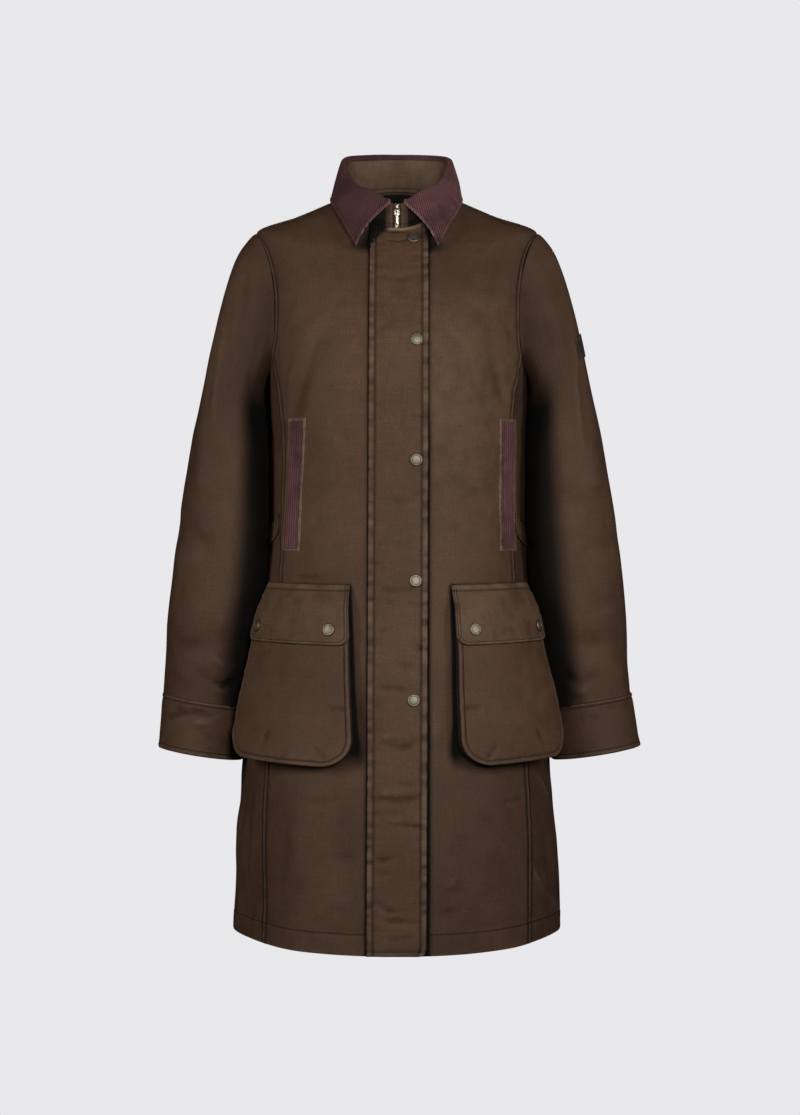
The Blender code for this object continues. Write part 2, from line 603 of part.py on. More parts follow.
def zip_slider():
    """A slider body with two lugs that hold the pull tab between them."""
    wide, deep, tall = SLIDER_SIZE
    half, front_face = wide / 2, -deep
    tip = front_face - LUG_DEPTH
    outline = [(-half, 0), (half, 0), (half, front_face), (LUG_OUTER, front_face), (LUG_OUTER, tip),
               (LUG_INNER, tip), (LUG_INNER, front_face), (-LUG_INNER, front_face), (-LUG_INNER, tip),
               (-LUG_OUTER, tip), (-LUG_OUTER, front_face), (-half, front_face)]
    made = prism("zip_slider", outline, -tall / 2, tall / 2, "zip_metal")
    for vertex in made.data.vertices:
        if vertex.co.y < front_face - 1e-6:
            vertex.co.z *= LUG_TAPER
    fold, _, _ = collar_lines(np.array([STAND_TURN]))
    foot = body_form(0.0, NECK_RISE)
    share = (SLIDER_MIDDLE_Z - foot[2]) / (fold[0, 2] - foot[2])
    seat_y = foot[1] * (1 - share) + fold[0, 1] * share
    made.location = (0.0, seat_y - SLIDER_GAP, SLIDER_MIDDLE_Z)
    made.rotation_euler = (STAND_LEAN, 0.0, 0.0)


def zip_pull():
    """A slim tab with a round eye, its origin on the hinge axis between the lugs."""
    half = PULL_THICK / 2
    start = math.asin(half / PULL_EYE)
    outline = [(PULL_EYE * math.sin(a), -PULL_EYE * math.cos(a))
               for a in np.linspace(start, 2 * math.pi - start, 15)]
    outline += [(-half, -PULL_LENGTH + half), (0.0, -PULL_LENGTH), (half, -PULL_LENGTH + half)]
    made = prism("zip_pull", outline, -PULL_WIDTH / 2, PULL_WIDTH / 2, "zip_metal")
    made.data.transform(Matrix(((0, 0, 1, 0), (1, 0, 0, 0), (0, 1, 0, 0), (0, 0, 0, 1))))
    made.location = (0.0, PULL_AXIS_Y, PULL_AXIS_Z)


def snap(name, point, normal):
    """A domed cap turned about its own axis, seated on the cloth at a point."""
    shape = bmesh.new()
    points = [shape.verts.new((radius, 0.0, high)) for radius, high in SNAP_PROFILE]
    points.append(shape.verts.new((0.0, 0.0, 0.0)))
    edges = [shape.edges.new(pair) for pair in zip(points, points[1:])]
    bmesh.ops.spin(shape, geom=points + edges, axis=(0, 0, 1), cent=(0, 0, 0),
                   angle=2 * math.pi, steps=SNAP_STEPS, use_merge=True)
    bmesh.ops.remove_doubles(shape, verts=shape.verts, dist=1e-6)
    bmesh.ops.recalc_face_normals(shape, faces=shape.faces)
    mesh = bpy.data.meshes.new(name)
    shape.to_mesh(mesh)
    shape.free()
    made = add_object(name, mesh, "antique_brass")
    made.location = Vector(point) + Vector(normal) * SEAM_GAP
    made.rotation_mode = "QUATERNION"
    made.rotation_quaternion = Vector((0, 0, 1)).rotation_difference(Vector(normal))


def flap_snaps():
    for number, (x, z) in enumerate(FLAP_SNAPS, 1):
        rise = rise_at(z, 0.0)
        turn = turn_at(x, np.array(rise))
        normal = normals_of(body_form, turn, np.array(rise))
        snap(f"snap_{number}", on_body(turn, rise, LAID_GAP + CLOTH), normal)


def welt(side, top_inner, top_outer, low_inner, low_outer):
    shares = np.linspace(0, 1, WELT_ROWS + 1)
    inner, outer = low_inner + (top_inner - low_inner) * shares, low_outer + (top_outer - low_outer) * shares
    rise = rise_at(WELT_BOTTOM + (WELT_TOP - WELT_BOTTOM) * shares, math.radians(POCKET_TURN))
    turn = spread(turn_at(inner, rise), turn_at(outer, rise), WELT_COLUMNS) * side
    if side == RIGHT:
        turn = turn[:, ::-1]
    panel("welt_" + SIDE_NAMES[side], on_body, turn, rise[:, None], LAID_GAP + THIN_CLOTH, THIN_CLOTH, "corduroy")


def waist_strap(side):
    rows = rise_at(np.linspace(STRAP_BOTTOM, STRAP_TOP, 3), math.radians(POCKET_TURN))
    turn, rise = side_panel_places(rows, np.linspace(*STRAP_ENDS, SIDE_COLUMNS + 1))
    if side == RIGHT:
        turn, rise = -turn[:, ::-1], rise[:, ::-1]
    panel("waist_strap_" + SIDE_NAMES[side], on_body, turn, rise, LAID_GAP + THIN_CLOTH, THIN_CLOTH)


def pocket_place(pocket, share, z, inset=0.0):
    """Turn, rise and way across on a pocket, at a share of its width between its inset edges and a height."""
    _, x_top, x_bottom, outer = pocket
    rise = rise_at(z, math.radians(POCKET_TURN))
    down = (z - POCKET_FLAP_TOP) / (BAG_BOTTOM - POCKET_FLAP_TOP)
    inner_turn = turn_at(x_top + (x_bottom - x_top) * down, rise)
    width = math.radians(outer) - inner_turn
    cut = inset / FOLD_RADIUS / width
    across = cut + (1 - 2 * cut) * share
    return inner_turn + width * across, rise, across


def corner_inset(above, radius):
    """How far a rounded corner cuts in at a height above the bottom edge."""
    left = np.clip(radius - above, 0, radius)
    return radius - np.sqrt(radius ** 2 - left ** 2)


def bag_stand(across, z):
    """How far the pocket bag's inner face stands off the front."""
    down = (BAG_TOP - z) / (BAG_TOP - BAG_BOTTOM)
    foot = BAG_STAND_INNER + (BAG_STAND_OUTER - BAG_STAND_INNER) * across
    return BAG_STAND_TOP + (foot - BAG_STAND_TOP) * np.clip(down, 0, 1) ** BAG_BEND


def facing_out(turn, side):
    return turn * side if side == LEFT else (turn * side)[:, ::-1]


def sided(values, side):
    return values if side == LEFT else values[:, ::-1]


def bag_heights():
    low = BAG_BOTTOM + BAG_CORNER * (1 - np.cos(np.linspace(0, math.pi / 2, BAG_ROWS - 2)))
    return np.concatenate([low, np.linspace(low[-1], BAG_TOP, 5)[1:]])


def pocket_bag(pocket):
    side = pocket[0]
    z = bag_heights()[:, None]
    share = np.linspace(0, 1, BAG_COLUMNS + 1)[None, :]
    inset = corner_inset(z - BAG_BOTTOM, BAG_CORNER)
    turn, rise, across = pocket_place(pocket, share, z, inset)
    stand = bag_stand(across, z) + CLOTH
    rise = np.broadcast_to(rise, turn.shape)
    panel("pocket_bag_" + SIDE_NAMES[side], on_body, facing_out(turn, side), rise, sided(stand, side))


def gusset_path(pocket, inset):
    """Turns, rises and bag stand along the pocket's edge: down the inner side, along the bottom, up the outer."""
    heights = bag_heights()[::-1]
    cut = corner_inset(heights - BAG_BOTTOM, BAG_CORNER) + inset
    inner = [(0.0, z, c) for z, c in zip(heights, cut)]
    bottom = [(share, heights[-1], cut[-1]) for share in np.linspace(0, 1, BAG_COLUMNS + 1)[1:-1]]
    outer = [(1.0, z, c) for z, c in zip(heights[::-1], cut[::-1])]
    places = []
    for share, z, c in inner + bottom + outer:
        lifted = max(z, BAG_BOTTOM + inset)
        turn, rise, across = pocket_place(pocket, share, lifted, c)
        places.append((float(turn), float(rise), float(bag_stand(across, lifted))))
    return np.array(places)


def gusset_face(pocket, inset):
    """A strip from the front to the back of the bag's edge, folded in along its middle."""
    side = pocket[0]
    edge, middle = gusset_path(pocket, inset), gusset_path(pocket, inset + GUSSET_FOLD)
    return np.stack([on_body(edge[:, 0] * side, edge[:, 1], np.full(len(edge), GUSSET_GAP)),
                     on_body(middle[:, 0] * side, middle[:, 1], middle[:, 2] / 2),
                     on_body(edge[:, 0] * side, edge[:, 1], edge[:, 2] - GUSSET_GAP)])


def pocket_gusset(pocket):
    outer, inner = (gusset_face(pocket, inset) for inset in (GUSSET_INSET, GUSSET_INSET + THIN_CLOTH))
    wall("pocket_gusset_" + SIDE_NAMES[pocket[0]], outer, inner, flip=pocket[0] == RIGHT)


def pocket_flap_place(pocket, share, z):
    """Turn, rise and stand of the flap's outer face."""
    inset = corner_inset(z - POCKET_FLAP_BOTTOM, POCKET_FLAP_CORNER)
    turn, rise, across = pocket_place(pocket, share, z, inset - POCKET_FLAP_OVERHANG)
    cover = bag_stand(across, z) + CLOTH + POCKET_FLAP_COVER
    down = np.clip((POCKET_FLAP_TOP - z) / (POCKET_FLAP_TOP - BAG_TOP), 0, 1)
    base = LAID_GAP + CLOTH
    return turn, rise, base + (cover - base) * down ** POCKET_FLAP_BEND


def pocket_flap(pocket):
    side = pocket[0]
    z = np.array(POCKET_FLAP_ROWS[::-1])[:, None]
    share = np.linspace(0, 1, BAG_COLUMNS + 1)[None, :]
    turn, rise, stand = pocket_flap_place(pocket, share, z)
    rise = np.broadcast_to(rise, turn.shape)
    panel("pocket_flap_" + SIDE_NAMES[side], on_body, facing_out(turn, side), rise, sided(stand, side))


def pocket_snaps(pocket):
    side = pocket[0]
    for label, share in zip(("inner", "outer"), POCKET_SNAPS):
        def flap_form(s, z):
            turn, rise, stand = pocket_flap_place(pocket, s, z)
            return on_body(turn * side, rise, stand)
        at = (np.array(share), np.array(POCKET_SNAP_Z))
        normal = normals_of(flap_form, *at) * side
        snap(f"pocket_snap_{SIDE_NAMES[side]}_{label}", flap_form(*at), normal)


def sleeve_patch():
    turns = np.radians(np.linspace(*PATCH_TURNS, 6))[None, :]
    lengths = np.linspace(*PATCH_LENGTHS, 4)[:, None]
    panel("sleeve_patch", on_sleeve, turns, lengths, LAID_GAP + THIN_CLOTH, THIN_CLOTH, "patch", flip=True)


def main():
    for old in list(bpy.data.objects):
        bpy.data.objects.remove(old)
    back()
    for side in (RIGHT, LEFT):
        front(side)
        side_panel(side)
        waist_strap(side)
        sleeve(side)
        cuff(side)
    collar_stand()
    collar_fall()
    neck_lining()
    storm_flap()
    zip_strip()
    zip_slider()
    zip_pull()
    flap_snaps()
    for row in WELTS:
        welt(*row)
    for pocket in POCKETS:
        pocket_bag(pocket)
        pocket_gusset(pocket)
        pocket_flap(pocket)
        pocket_snaps(pocket)
    sleeve_patch()


main()
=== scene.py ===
"""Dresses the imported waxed-cotton jacket: cloth with its creases, corduroy, stitching, zip and snap caps.

Metres, +Z up, the front facing -Y and the wearer's left at +X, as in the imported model. On the body a
place is a turn, the angle from the front towards the wearer's left, and a rise, the length up the cloth
from the hem. On a sleeve it is a turn from the top of the arm towards the back, and a length from the
armhole. The tables of the form repeat those of the solids, so every sheet lies on its solid.
"""

import math

import bpy
import numpy as np
from bpy.props import FloatProperty, FloatVectorProperty, PointerProperty
from mathutils import Matrix, Vector


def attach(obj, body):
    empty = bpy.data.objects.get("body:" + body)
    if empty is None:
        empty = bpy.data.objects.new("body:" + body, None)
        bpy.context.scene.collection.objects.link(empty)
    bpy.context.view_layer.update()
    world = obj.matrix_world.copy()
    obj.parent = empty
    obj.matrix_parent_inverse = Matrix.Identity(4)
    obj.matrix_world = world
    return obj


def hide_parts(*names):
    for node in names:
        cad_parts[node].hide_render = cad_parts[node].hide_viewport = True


bl_info = {
    "name": "Waxed Jacket",
    "version": (1, 0, 0),
    "blender": (4, 5, 0),
    "location": "View3D > Sidebar > Jacket",
    "description": "Sews cloth, corduroy, stitching and fastenings onto the packed jacket",
    "category": "Object",
}

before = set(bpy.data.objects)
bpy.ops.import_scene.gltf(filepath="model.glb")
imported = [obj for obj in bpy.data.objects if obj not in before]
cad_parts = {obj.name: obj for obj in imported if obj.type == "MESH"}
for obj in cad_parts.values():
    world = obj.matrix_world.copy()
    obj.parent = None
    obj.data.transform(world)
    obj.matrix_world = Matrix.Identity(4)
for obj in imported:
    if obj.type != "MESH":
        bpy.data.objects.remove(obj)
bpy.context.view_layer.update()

LEFT, RIGHT = 1, -1
SIDES = (RIGHT, LEFT)
SIDE_NAMES = {LEFT: "left", RIGHT: "right"}
# Gaps in a seam and under a laid piece, thicknesses of cloth, and steps of small differences
SEAM_GAP, LAID_GAP = 0.0003, 0.0007
CLOTH, CORDUROY, THIN_CLOTH = 0.002, 0.0022, 0.0011
TURN_STEP, LENGTH_STEP = 0.004, 0.0008

# Rings of the body: rise, z at front, side and back, half-width, y at front, side and back, squareness
RINGS = (
    (0.000, -0.916, -0.906, -0.906, 0.2020, -0.158, 0.045, 0.160, 2.30),
    (0.115, -0.800, -0.792, -0.792, 0.1985, -0.155, 0.045, 0.154, 2.30),
    (0.215, -0.700, -0.692, -0.692, 0.1920, -0.151, 0.045, 0.148, 2.25),
    (0.350, -0.562, -0.558, -0.558, 0.1770, -0.144, 0.045, 0.141, 2.20),
    (0.510, -0.400, -0.397, -0.397, 0.1615, -0.129, 0.042, 0.124, 2.20),
    (0.595, -0.314, -0.312, -0.312, 0.1615, -0.134, 0.040, 0.126, 2.25),
    (0.670, -0.238, -0.238, -0.238, 0.1640, -0.140, 0.036, 0.130, 2.30),
    (0.715, -0.192, -0.196, -0.192, 0.1660, -0.136, 0.030, 0.131, 2.30),
    (0.790, -0.124, -0.118, -0.110, 0.1700, -0.117, 0.018, 0.123, 2.10),
    (0.865, -0.078, -0.039, -0.030, 0.1760, -0.097, 0.006, 0.098, 1.85),
    (0.905, -0.058, -0.0170, 0.000, 0.1230, -0.084, 0.002, 0.080, 1.95),
    (0.945, -0.042, 0.005, 0.022, 0.0690, -0.072, 0.000, 0.062, 2.00),
)
NECK_RISE = 0.945
ARM_TOP, ARM_BOTTOM = 0.865, 0.680
ARM_MIDDLE, ARM_HALF = (ARM_TOP + ARM_BOTTOM) / 2, (ARM_TOP - ARM_BOTTOM) / 2
ARM_FRONT, ARM_BACK = math.radians(28), math.radians(32)
ARM_SQUARE = 2.4
SEAM_TOP = 0.715
SLEEVE_TUCK = 0.006
# Side seams: rise, then turn of the front and the back seam
SIDE_SEAMS = (
    (0.000, 51.0, 128.0),
    (0.215, 54.5, 126.0),
    (0.450, 59.5, 122.0),
    (0.520, 61.0, 121.0),
    (0.600, 59.0, 121.0),
    (0.655, 59.5, 120.0),
    (0.715, 66.1, 117.3),
)

# Largest folds of the solids: turn and rise at each end, height out of the cloth, half-width
BODY_FOLDS = (
    (-30, 0.735, -47, 0.650, -0.0030, 0.016),
    (40, 0.710, 49, 0.665, -0.0025, 0.015),
    (-33, 0.000, -30, 0.190, 0.0045, 0.030),
    (40, 0.000, 35, 0.170, 0.0040, 0.028),
    (-78, 0.000, -80, 0.120, 0.0045, 0.030),
    (80, 0.000, 78, 0.110, 0.0050, 0.032),
    (108, 0.000, 104, 0.300, -0.0045, 0.032),
    (-106, 0.000, -104, 0.280, -0.0045, 0.032),
    (150, 0.000, 158, 0.330, 0.0060, 0.034),
    (212, 0.000, 204, 0.310, 0.0055, 0.036),
    (103, 0.360, 103, 0.630, 0.0045, 0.026),
    (-103, 0.360, -103, 0.630, 0.0045, 0.026),
    (180, 0.000, 180, 0.240, -0.0045, 0.030),
    (150, 0.520, 172, 0.455, -0.0040, 0.020),
    (206, 0.500, 186, 0.440, -0.0035, 0.020),
)
FOLD_RADIUS = 0.165

# Sleeve rings below the armhole: drop from the neck, then inner, outer, front and back reach
TUBE = (
    (0.2550, 0.1633, 0.2460, -0.0640, 0.0680),
    (0.3100, 0.1598, 0.2570, -0.0630, 0.0670),
    (0.3750, 0.1606, 0.2680, -0.0625, 0.0640),
    (0.4400, 0.1626, 0.2772, -0.0600, 0.0620),
    (0.5000, 0.1700, 0.2838, -0.0550, 0.0630),
    (0.5600, 0.1790, 0.2883, -0.0495, 0.0645),
    (0.6232, 0.1870, 0.2925, -0.0440, 0.0660),
)
CAP_LENGTH = 0.150
TUBE_TOP, TUBE_END = TUBE[0][0], TUBE[-1][0]
SLEEVE_LENGTH = CAP_LENGTH + TUBE_END - TUBE_TOP
RING_TILT = 0.16
CAP_START_PULL, CAP_END_PULL, CAP_END_STEP = 0.50, 1.2, 0.004
SHOULDER_SLOPE, UNDERARM_SLOPE = math.radians(22), math.radians(45)
SLEEVE_SEAM_RISE = 0.74
# Folds of the sleeves, as those of the body but by length from the armhole
SLEEVE_FOLDS = (
    (-22, 0.035, -55, 0.250, 0.0030, 0.013),
    (-100, 0.265, -40, 0.300, -0.0035, 0.016),
    (-70, 0.330, -20, 0.318, -0.0030, 0.015),
    (100, 0.255, 40, 0.285, -0.0030, 0.016),
    (-110, 0.440, -30, 0.465, -0.0030, 0.014),
    (120, 0.430, 60, 0.400, -0.0030, 0.016),
)
SLEEVE_RADIUS = 0.055
# Cuffs: the columns of the sleeve rings, at the top and at the mouth
CUFFS = {
    RIGHT: ((0.6237, 0.1880, 0.2935, -0.0450, 0.0670), (0.6875, 0.1945, 0.2985, -0.0480, 0.0700)),
    LEFT: ((0.6237, 0.1880, 0.2940, -0.0450, 0.0670), (0.6865, 0.1945, 0.3035, -0.0480, 0.0700)),
}

# Collar by turn: the fold at the top of the stand, then the outer edge of the fall
COLLAR = (
    (3, 0.0036, -0.0685, -0.0105, 0.0490, -0.1000, -0.0665),
    (6, 0.0078, -0.0680, -0.0096, 0.0495, -0.1000, -0.0660),
    (32, 0.0300, -0.0605, 0.0030, 0.0655, -0.0760, -0.0370),
    (55, 0.0515, -0.0400, 0.0150, 0.0775, -0.0460, -0.0140),
    (75, 0.0625, -0.0160, 0.0320, 0.0822, -0.0180, -0.0010),
    (95, 0.0668, 0.0080, 0.0495, 0.0828, 0.0120, 0.0040),
    (125, 0.0620, 0.0360, 0.0590, 0.0750, 0.0500, 0.0070),
    (150, 0.0368, 0.0525, 0.0630, 0.0450, 0.0750, 0.0080),
    (180, 0.0000, 0.0580, 0.0645, 0.0000, 0.0840, 0.0080),
)
STAND_TURN, FALL_TURN = 3.0, 6.0
FALL_BULGE = 0.0015
ROLL = ((0.0042, 0.0), (0.0026, 0.0030), (-0.0012, 0.0036))

# Storm flap, zip and snaps
CENTRE_HALF = 0.0036
ZIP_HALF = 0.0033
ZIP_CLOTH = 0.0015
ZIP_SINK = -0.0002
ZIP_BOTTOM = 0.042
FLAP_EDGES = ((0.000, -0.0365, 0.0355), (0.945, -0.0330, 0.0390))
FLAP_TOP = 0.9425
FLAP_CORNER = 0.009
SNAP_RADIUS = 0.00775
FLAP_SNAPS = ((0.0200, -0.0575), (0.0235, -0.1830), (0.0230, -0.3260), (0.0222, -0.4710), (0.0197, -0.6130))
SLIDER_SIZE = (0.0068, 0.0026, 0.0095)
SLIDER_MIDDLE_Z = -0.0210
SLIDER_GAP = 0.0004
LUG_OUTER, LUG_INNER, LUG_DEPTH = 0.0028, 0.0017, 0.0034
LUG_TAPER = 0.45
STAND_LEAN = math.radians(-6.7)
PULL_EYE, PULL_THICK, PULL_WIDTH, PULL_LENGTH = 0.0011, 0.0009, 0.0026, 0.0155
PULL_AXIS_Y, PULL_AXIS_Z = -0.0748, -0.0205

# Welts, straps, pockets and patch
WELT_TOP, WELT_BOTTOM = -0.2780, -0.4325
# Inner and outer x of a welt at its top, then at its bottom
WELTS = {RIGHT: (0.1135, 0.1304, 0.1220, 0.1370), LEFT: (0.1275, 0.1427, 0.1287, 0.1443)}
STRAP_TOP, STRAP_BOTTOM = -0.3840, -0.4080
STRAP_ENDS = (0.03, 0.97)
# Inner x of a pocket at its top and bottom, and the turn of its outer edge
POCKETS = {RIGHT: (0.0570, 0.0490, 66.0), LEFT: (0.0660, 0.0712, 68.0)}
POCKET_TURN = 40.0
BAG_TOP, BAG_BOTTOM = -0.5050, -0.6905
BAG_CORNER = 0.034
BAG_STAND_TOP, BAG_STAND_INNER, BAG_STAND_OUTER = 0.0095, 0.0170, 0.0315
BAG_BEND, POCKET_FLAP_BEND = 0.80, 0.85
GUSSET_INSET, GUSSET_FOLD, GUSSET_GAP = 0.0022, 0.0050, 0.0009
POCKET_FLAP_TOP, POCKET_FLAP_BOTTOM = -0.4746, -0.5480
POCKET_FLAP_COVER, POCKET_FLAP_OVERHANG = 0.0030, 0.0015
POCKET_FLAP_CORNER = 0.012
POCKET_SNAPS = (0.15, 0.90)
POCKET_SNAP_Z = -0.5300
PATCH_TURNS, PATCH_LENGTHS = (-47.0, 14.0), (0.1025, 0.1185)


def smooth(table, at):
    """Values of a table's later columns at a value of its first one, on a curve with no overshoot."""
    table = np.asarray(table, float)
    knots, values = table[:, 0], table[:, 1:]
    at = np.asarray(at, float)
    widths = np.diff(knots)[:, None]
    rates = np.diff(values, axis=0) / widths
    slopes = np.empty_like(values)
    slopes[0], slopes[-1] = rates[0], rates[-1]
    before, after = rates[:-1], rates[1:]
    weight_a, weight_b = 2 * widths[1:] + widths[:-1], widths[1:] + 2 * widths[:-1]
    with np.errstate(divide="ignore", invalid="ignore"):
        mean = (weight_a + weight_b) / (weight_a / before + weight_b / after)
    slopes[1:-1] = np.where(before * after > 0, mean, 0.0)
    i = np.clip(np.searchsorted(knots, at) - 1, 0, len(knots) - 2)
    width = widths[i, 0][..., None]
    t = (at - knots[i])[..., None] / width
    return (values[i] * (1 + 2 * t) * (1 - t) ** 2 + values[i + 1] * t * t * (3 - 2 * t)
            + slopes[i] * width * t * (1 - t) ** 2 + slopes[i + 1] * width * t * t * (t - 1))


def signed_power(value, power):
    return np.sign(value) * np.abs(value) ** power


def unit(vectors):
    return vectors / np.linalg.norm(vectors, axis=-1, keepdims=True)


def body_form(turn, rise):
    """Point of the body's plain form."""
    turn, rise = np.broadcast_arrays(np.asarray(turn, float), np.asarray(rise, float))
    z_front, z_side, z_back, half, y_front, y_side, y_back, square = np.moveaxis(smooth(RINGS, rise), -1, 0)
    sine, cosine = np.sin(turn), np.cos(turn)
    power = 2.0 / square
    reach = np.where(cosine > 0, y_front - y_side, y_back - y_side)
    x = half * signed_power(sine, power)
    y = y_side + reach * np.abs(cosine) ** power
    z = z_side + np.where(cosine > 0, z_front - z_side, z_back - z_side) * cosine ** 2
    return np.stack([x, y, z], axis=-1)


def fold_height(folds, radius, turn, length):
    """Height of the solids' folds out of the cloth at places given by turn and length."""
    u = turn * radius
    total = np.zeros(np.broadcast(u, length).shape)
    for turn_a, length_a, turn_b, length_b, height, reach in folds:
        for lap in (-2 * math.pi, 0.0, 2 * math.pi):
            ua = (math.radians(turn_a) + lap) * radius
            ub = (math.radians(turn_b) + lap) * radius
            du, dl = ub - ua, length_b - length_a
            t = np.clip(((u - ua) * du + (length - length_a) * dl) / (du * du + dl * dl), 0, 1)
            far = (u - ua - t * du) ** 2 + (length - length_a - t * dl) ** 2
            total = total + height * np.exp(-far / reach ** 2)
    return total


def normals_of(form, turn, length):
    """Unit normals of a form by small differences, facing along turn x length."""
    across = form(turn + TURN_STEP, length) - form(turn - TURN_STEP, length)
    along = form(turn, length + LENGTH_STEP) - form(turn, length - LENGTH_STEP)
    return unit(np.cross(across, along))


def turn_at(x, rise):
    """Turn where the front of the body has a given x."""
    ring = smooth(RINGS, rise)
    half, square = ring[..., 3], ring[..., 7]
    return np.arcsin(np.clip(signed_power(np.asarray(x) / half, square / 2), -1, 1))


def rise_at(z, turn):
    """Rise where the body has a given height, below the shoulders."""
    rises = np.linspace(0.0, FLAP_TOP, 400)
    return np.interp(z, body_form(turn, rises)[:, 2], rises)


def gap_turn(turn, rise):
    """Turn that half a seam's gap takes at a place on the body."""
    way = body_form(turn + TURN_STEP, rise) - body_form(turn - TURN_STEP, rise)
    return SEAM_GAP * TURN_STEP / np.linalg.norm(way, axis=-1)


def armhole_turn(rise, reach):
    """Turn from the side of the body to the armhole at a rise."""
    share = np.clip(np.abs(rise - ARM_MIDDLE) / ARM_HALF, 0, 1)
    return reach * (1 - share ** ARM_SQUARE) ** (1 / ARM_SQUARE)


def side_seam(rise, back=False):
    return np.radians(smooth(SIDE_SEAMS, rise)[..., 1 if back else 0])


def panel_edge(rise, back=False):
    """Turn of the edge of a front or back: side seam, then armhole, then shoulder seam."""
    way = 1 if back else -1
    arm = math.pi / 2 + way * armhole_turn(rise, ARM_BACK if back else ARM_FRONT)
    edge = np.where(rise < SEAM_TOP + 1e-6, side_seam(rise, back), arm)
    return edge + way * gap_turn(edge, rise)


def armhole(turn):
    """Body turn and rise of the armhole at a sleeve turn, a little inside the cut edge."""
    power = 2 / ARM_SQUARE
    reach = np.where(np.sin(turn) < 0, ARM_FRONT, ARM_BACK)
    inside = 1 - SLEEVE_TUCK
    body_turn = math.pi / 2 + reach * signed_power(np.sin(turn), power) * inside
    return body_turn, ARM_MIDDLE + ARM_HALF * signed_power(np.cos(turn), power) * inside


def tube(turn, rows):
    """Point of an oval ring with the given drop, reach in x and reach in y."""
    drop, x_inner, x_outer, y_front, y_back = rows
    across = (x_outer - x_inner) / 2 * np.cos(turn)
    x = (x_outer + x_inner) / 2 + across
    y = (y_front + y_back) / 2 + (y_back - y_front) / 2 * np.sin(turn)
    return np.stack(np.broadcast_arrays(x, y, -drop + RING_TILT * across), axis=-1)


def tube_at(turn, drop):
    return tube(turn, (drop, *np.moveaxis(smooth(TUBE, drop), -1, 0)))


def sleeve_form(turn, length):
    """Point of the wearer's left sleeve: a cap from the armhole, then rings down the arm."""
    turn, length = np.broadcast_arrays(np.asarray(turn, float), np.asarray(length, float))
    start = body_form(*armhole(turn))
    end = tube_at(turn, np.full(turn.shape, TUBE_TOP))
    below = tube_at(turn, np.full(turn.shape, TUBE_TOP + CAP_END_STEP))
    span = np.linalg.norm(end - start, axis=-1, keepdims=True)
    slope = SHOULDER_SLOPE + (UNDERARM_SLOPE - SHOULDER_SLOPE) * (1 - np.cos(turn)) / 2
    leave = np.stack([np.cos(slope), np.zeros_like(slope), -np.sin(slope)], axis=-1) * span * CAP_START_PULL
    arrive = unit(below - end) * span * CAP_END_PULL
    t = np.clip(length / CAP_LENGTH, -0.05, 1)[..., None]
    cap = (start * (1 + 2 * t) * (1 - t) ** 2 + end * t * t * (3 - 2 * t)
           + leave * t * (1 - t) ** 2 + arrive * t * t * (t - 1))
    arm = tube_at(turn, TUBE_TOP + np.maximum(length - CAP_LENGTH, 0))
    return np.where((length < CAP_LENGTH)[..., None], cap, arm)


def mirrored(points, side):
    return points * np.array([side, 1.0, 1.0])


# Fullness of the cloth that the solids do not have, beside the sleeves and below a pocket, as the body folds
LOOSE_FOLDS = ((95, 0.340, 96, 0.685, 0.0044, 0.026), (-95, 0.340, -96, 0.685, 0.0044, 0.026),
               (-95, 0.130, -95, 0.300, 0.0035, 0.030), (-93, 0.655, -93, 0.668, 0.0022, 0.016))
# Creases noted on the photograph: column and row of three or four of its pixels, then height out
# of the cloth and half-width in millimetres
FRONT_SEEN = (
    (318, 330, 306, 368, 295, 405, -0.9, 6), (300, 345, 290, 375, 287, 400, 0.9, 7),
    (288, 577, 316, 578, 342, 582, -1.2, 4), (489, 358, 496, 372, 502, 385, -0.9, 6),
    (506, 350, 515, 380, 519, 400, 0.8, 8), (330, 300, 300, 318, 284, 340, -0.7, 10),
    (470, 310, 500, 322, 516, 340, -0.7, 10), (345, 470, 330, 500, 300, 520, -0.7, 13),
    (440, 470, 462, 500, 492, 520, -0.7, 13), (352, 690, 357, 730, 361, 790, -1.5, 8),
    (330, 775, 338, 860, 335, 930, -1.4, 14), (300, 775, 296, 850, 288, 925, 0.9, 12),
    (472, 813, 503, 838, 522, 858, -1.5, 8), (455, 790, 482, 845, 503, 905, 1.4, 15),
    (437, 712, 433, 740, 434, 768, 1.3, 7), (500, 803, 512, 801, 523, 798, -1.1, 4),
    (443, 891, 452, 884, 460, 879, 0.8, 4), (436, 917, 450, 914, 462, 912, -0.9, 4),
    (468, 926, 480, 928, 492, 927, -0.6, 5), (445, 835, 448, 870, 450, 900, 0.9, 11),
    (534, 769, 545, 795, 552, 814, 1.6, 4),
)
SKIRT_SEEN = (
    (256, 800, 252, 840, 250, 885, 0.9, 6), (345, 790, 330, 800, 300, 803, -0.5, 5),
    (360, 850, 340, 858, 318, 857, -0.6, 6), (350, 900, 330, 905, 312, 915, 0.7, 6),
)
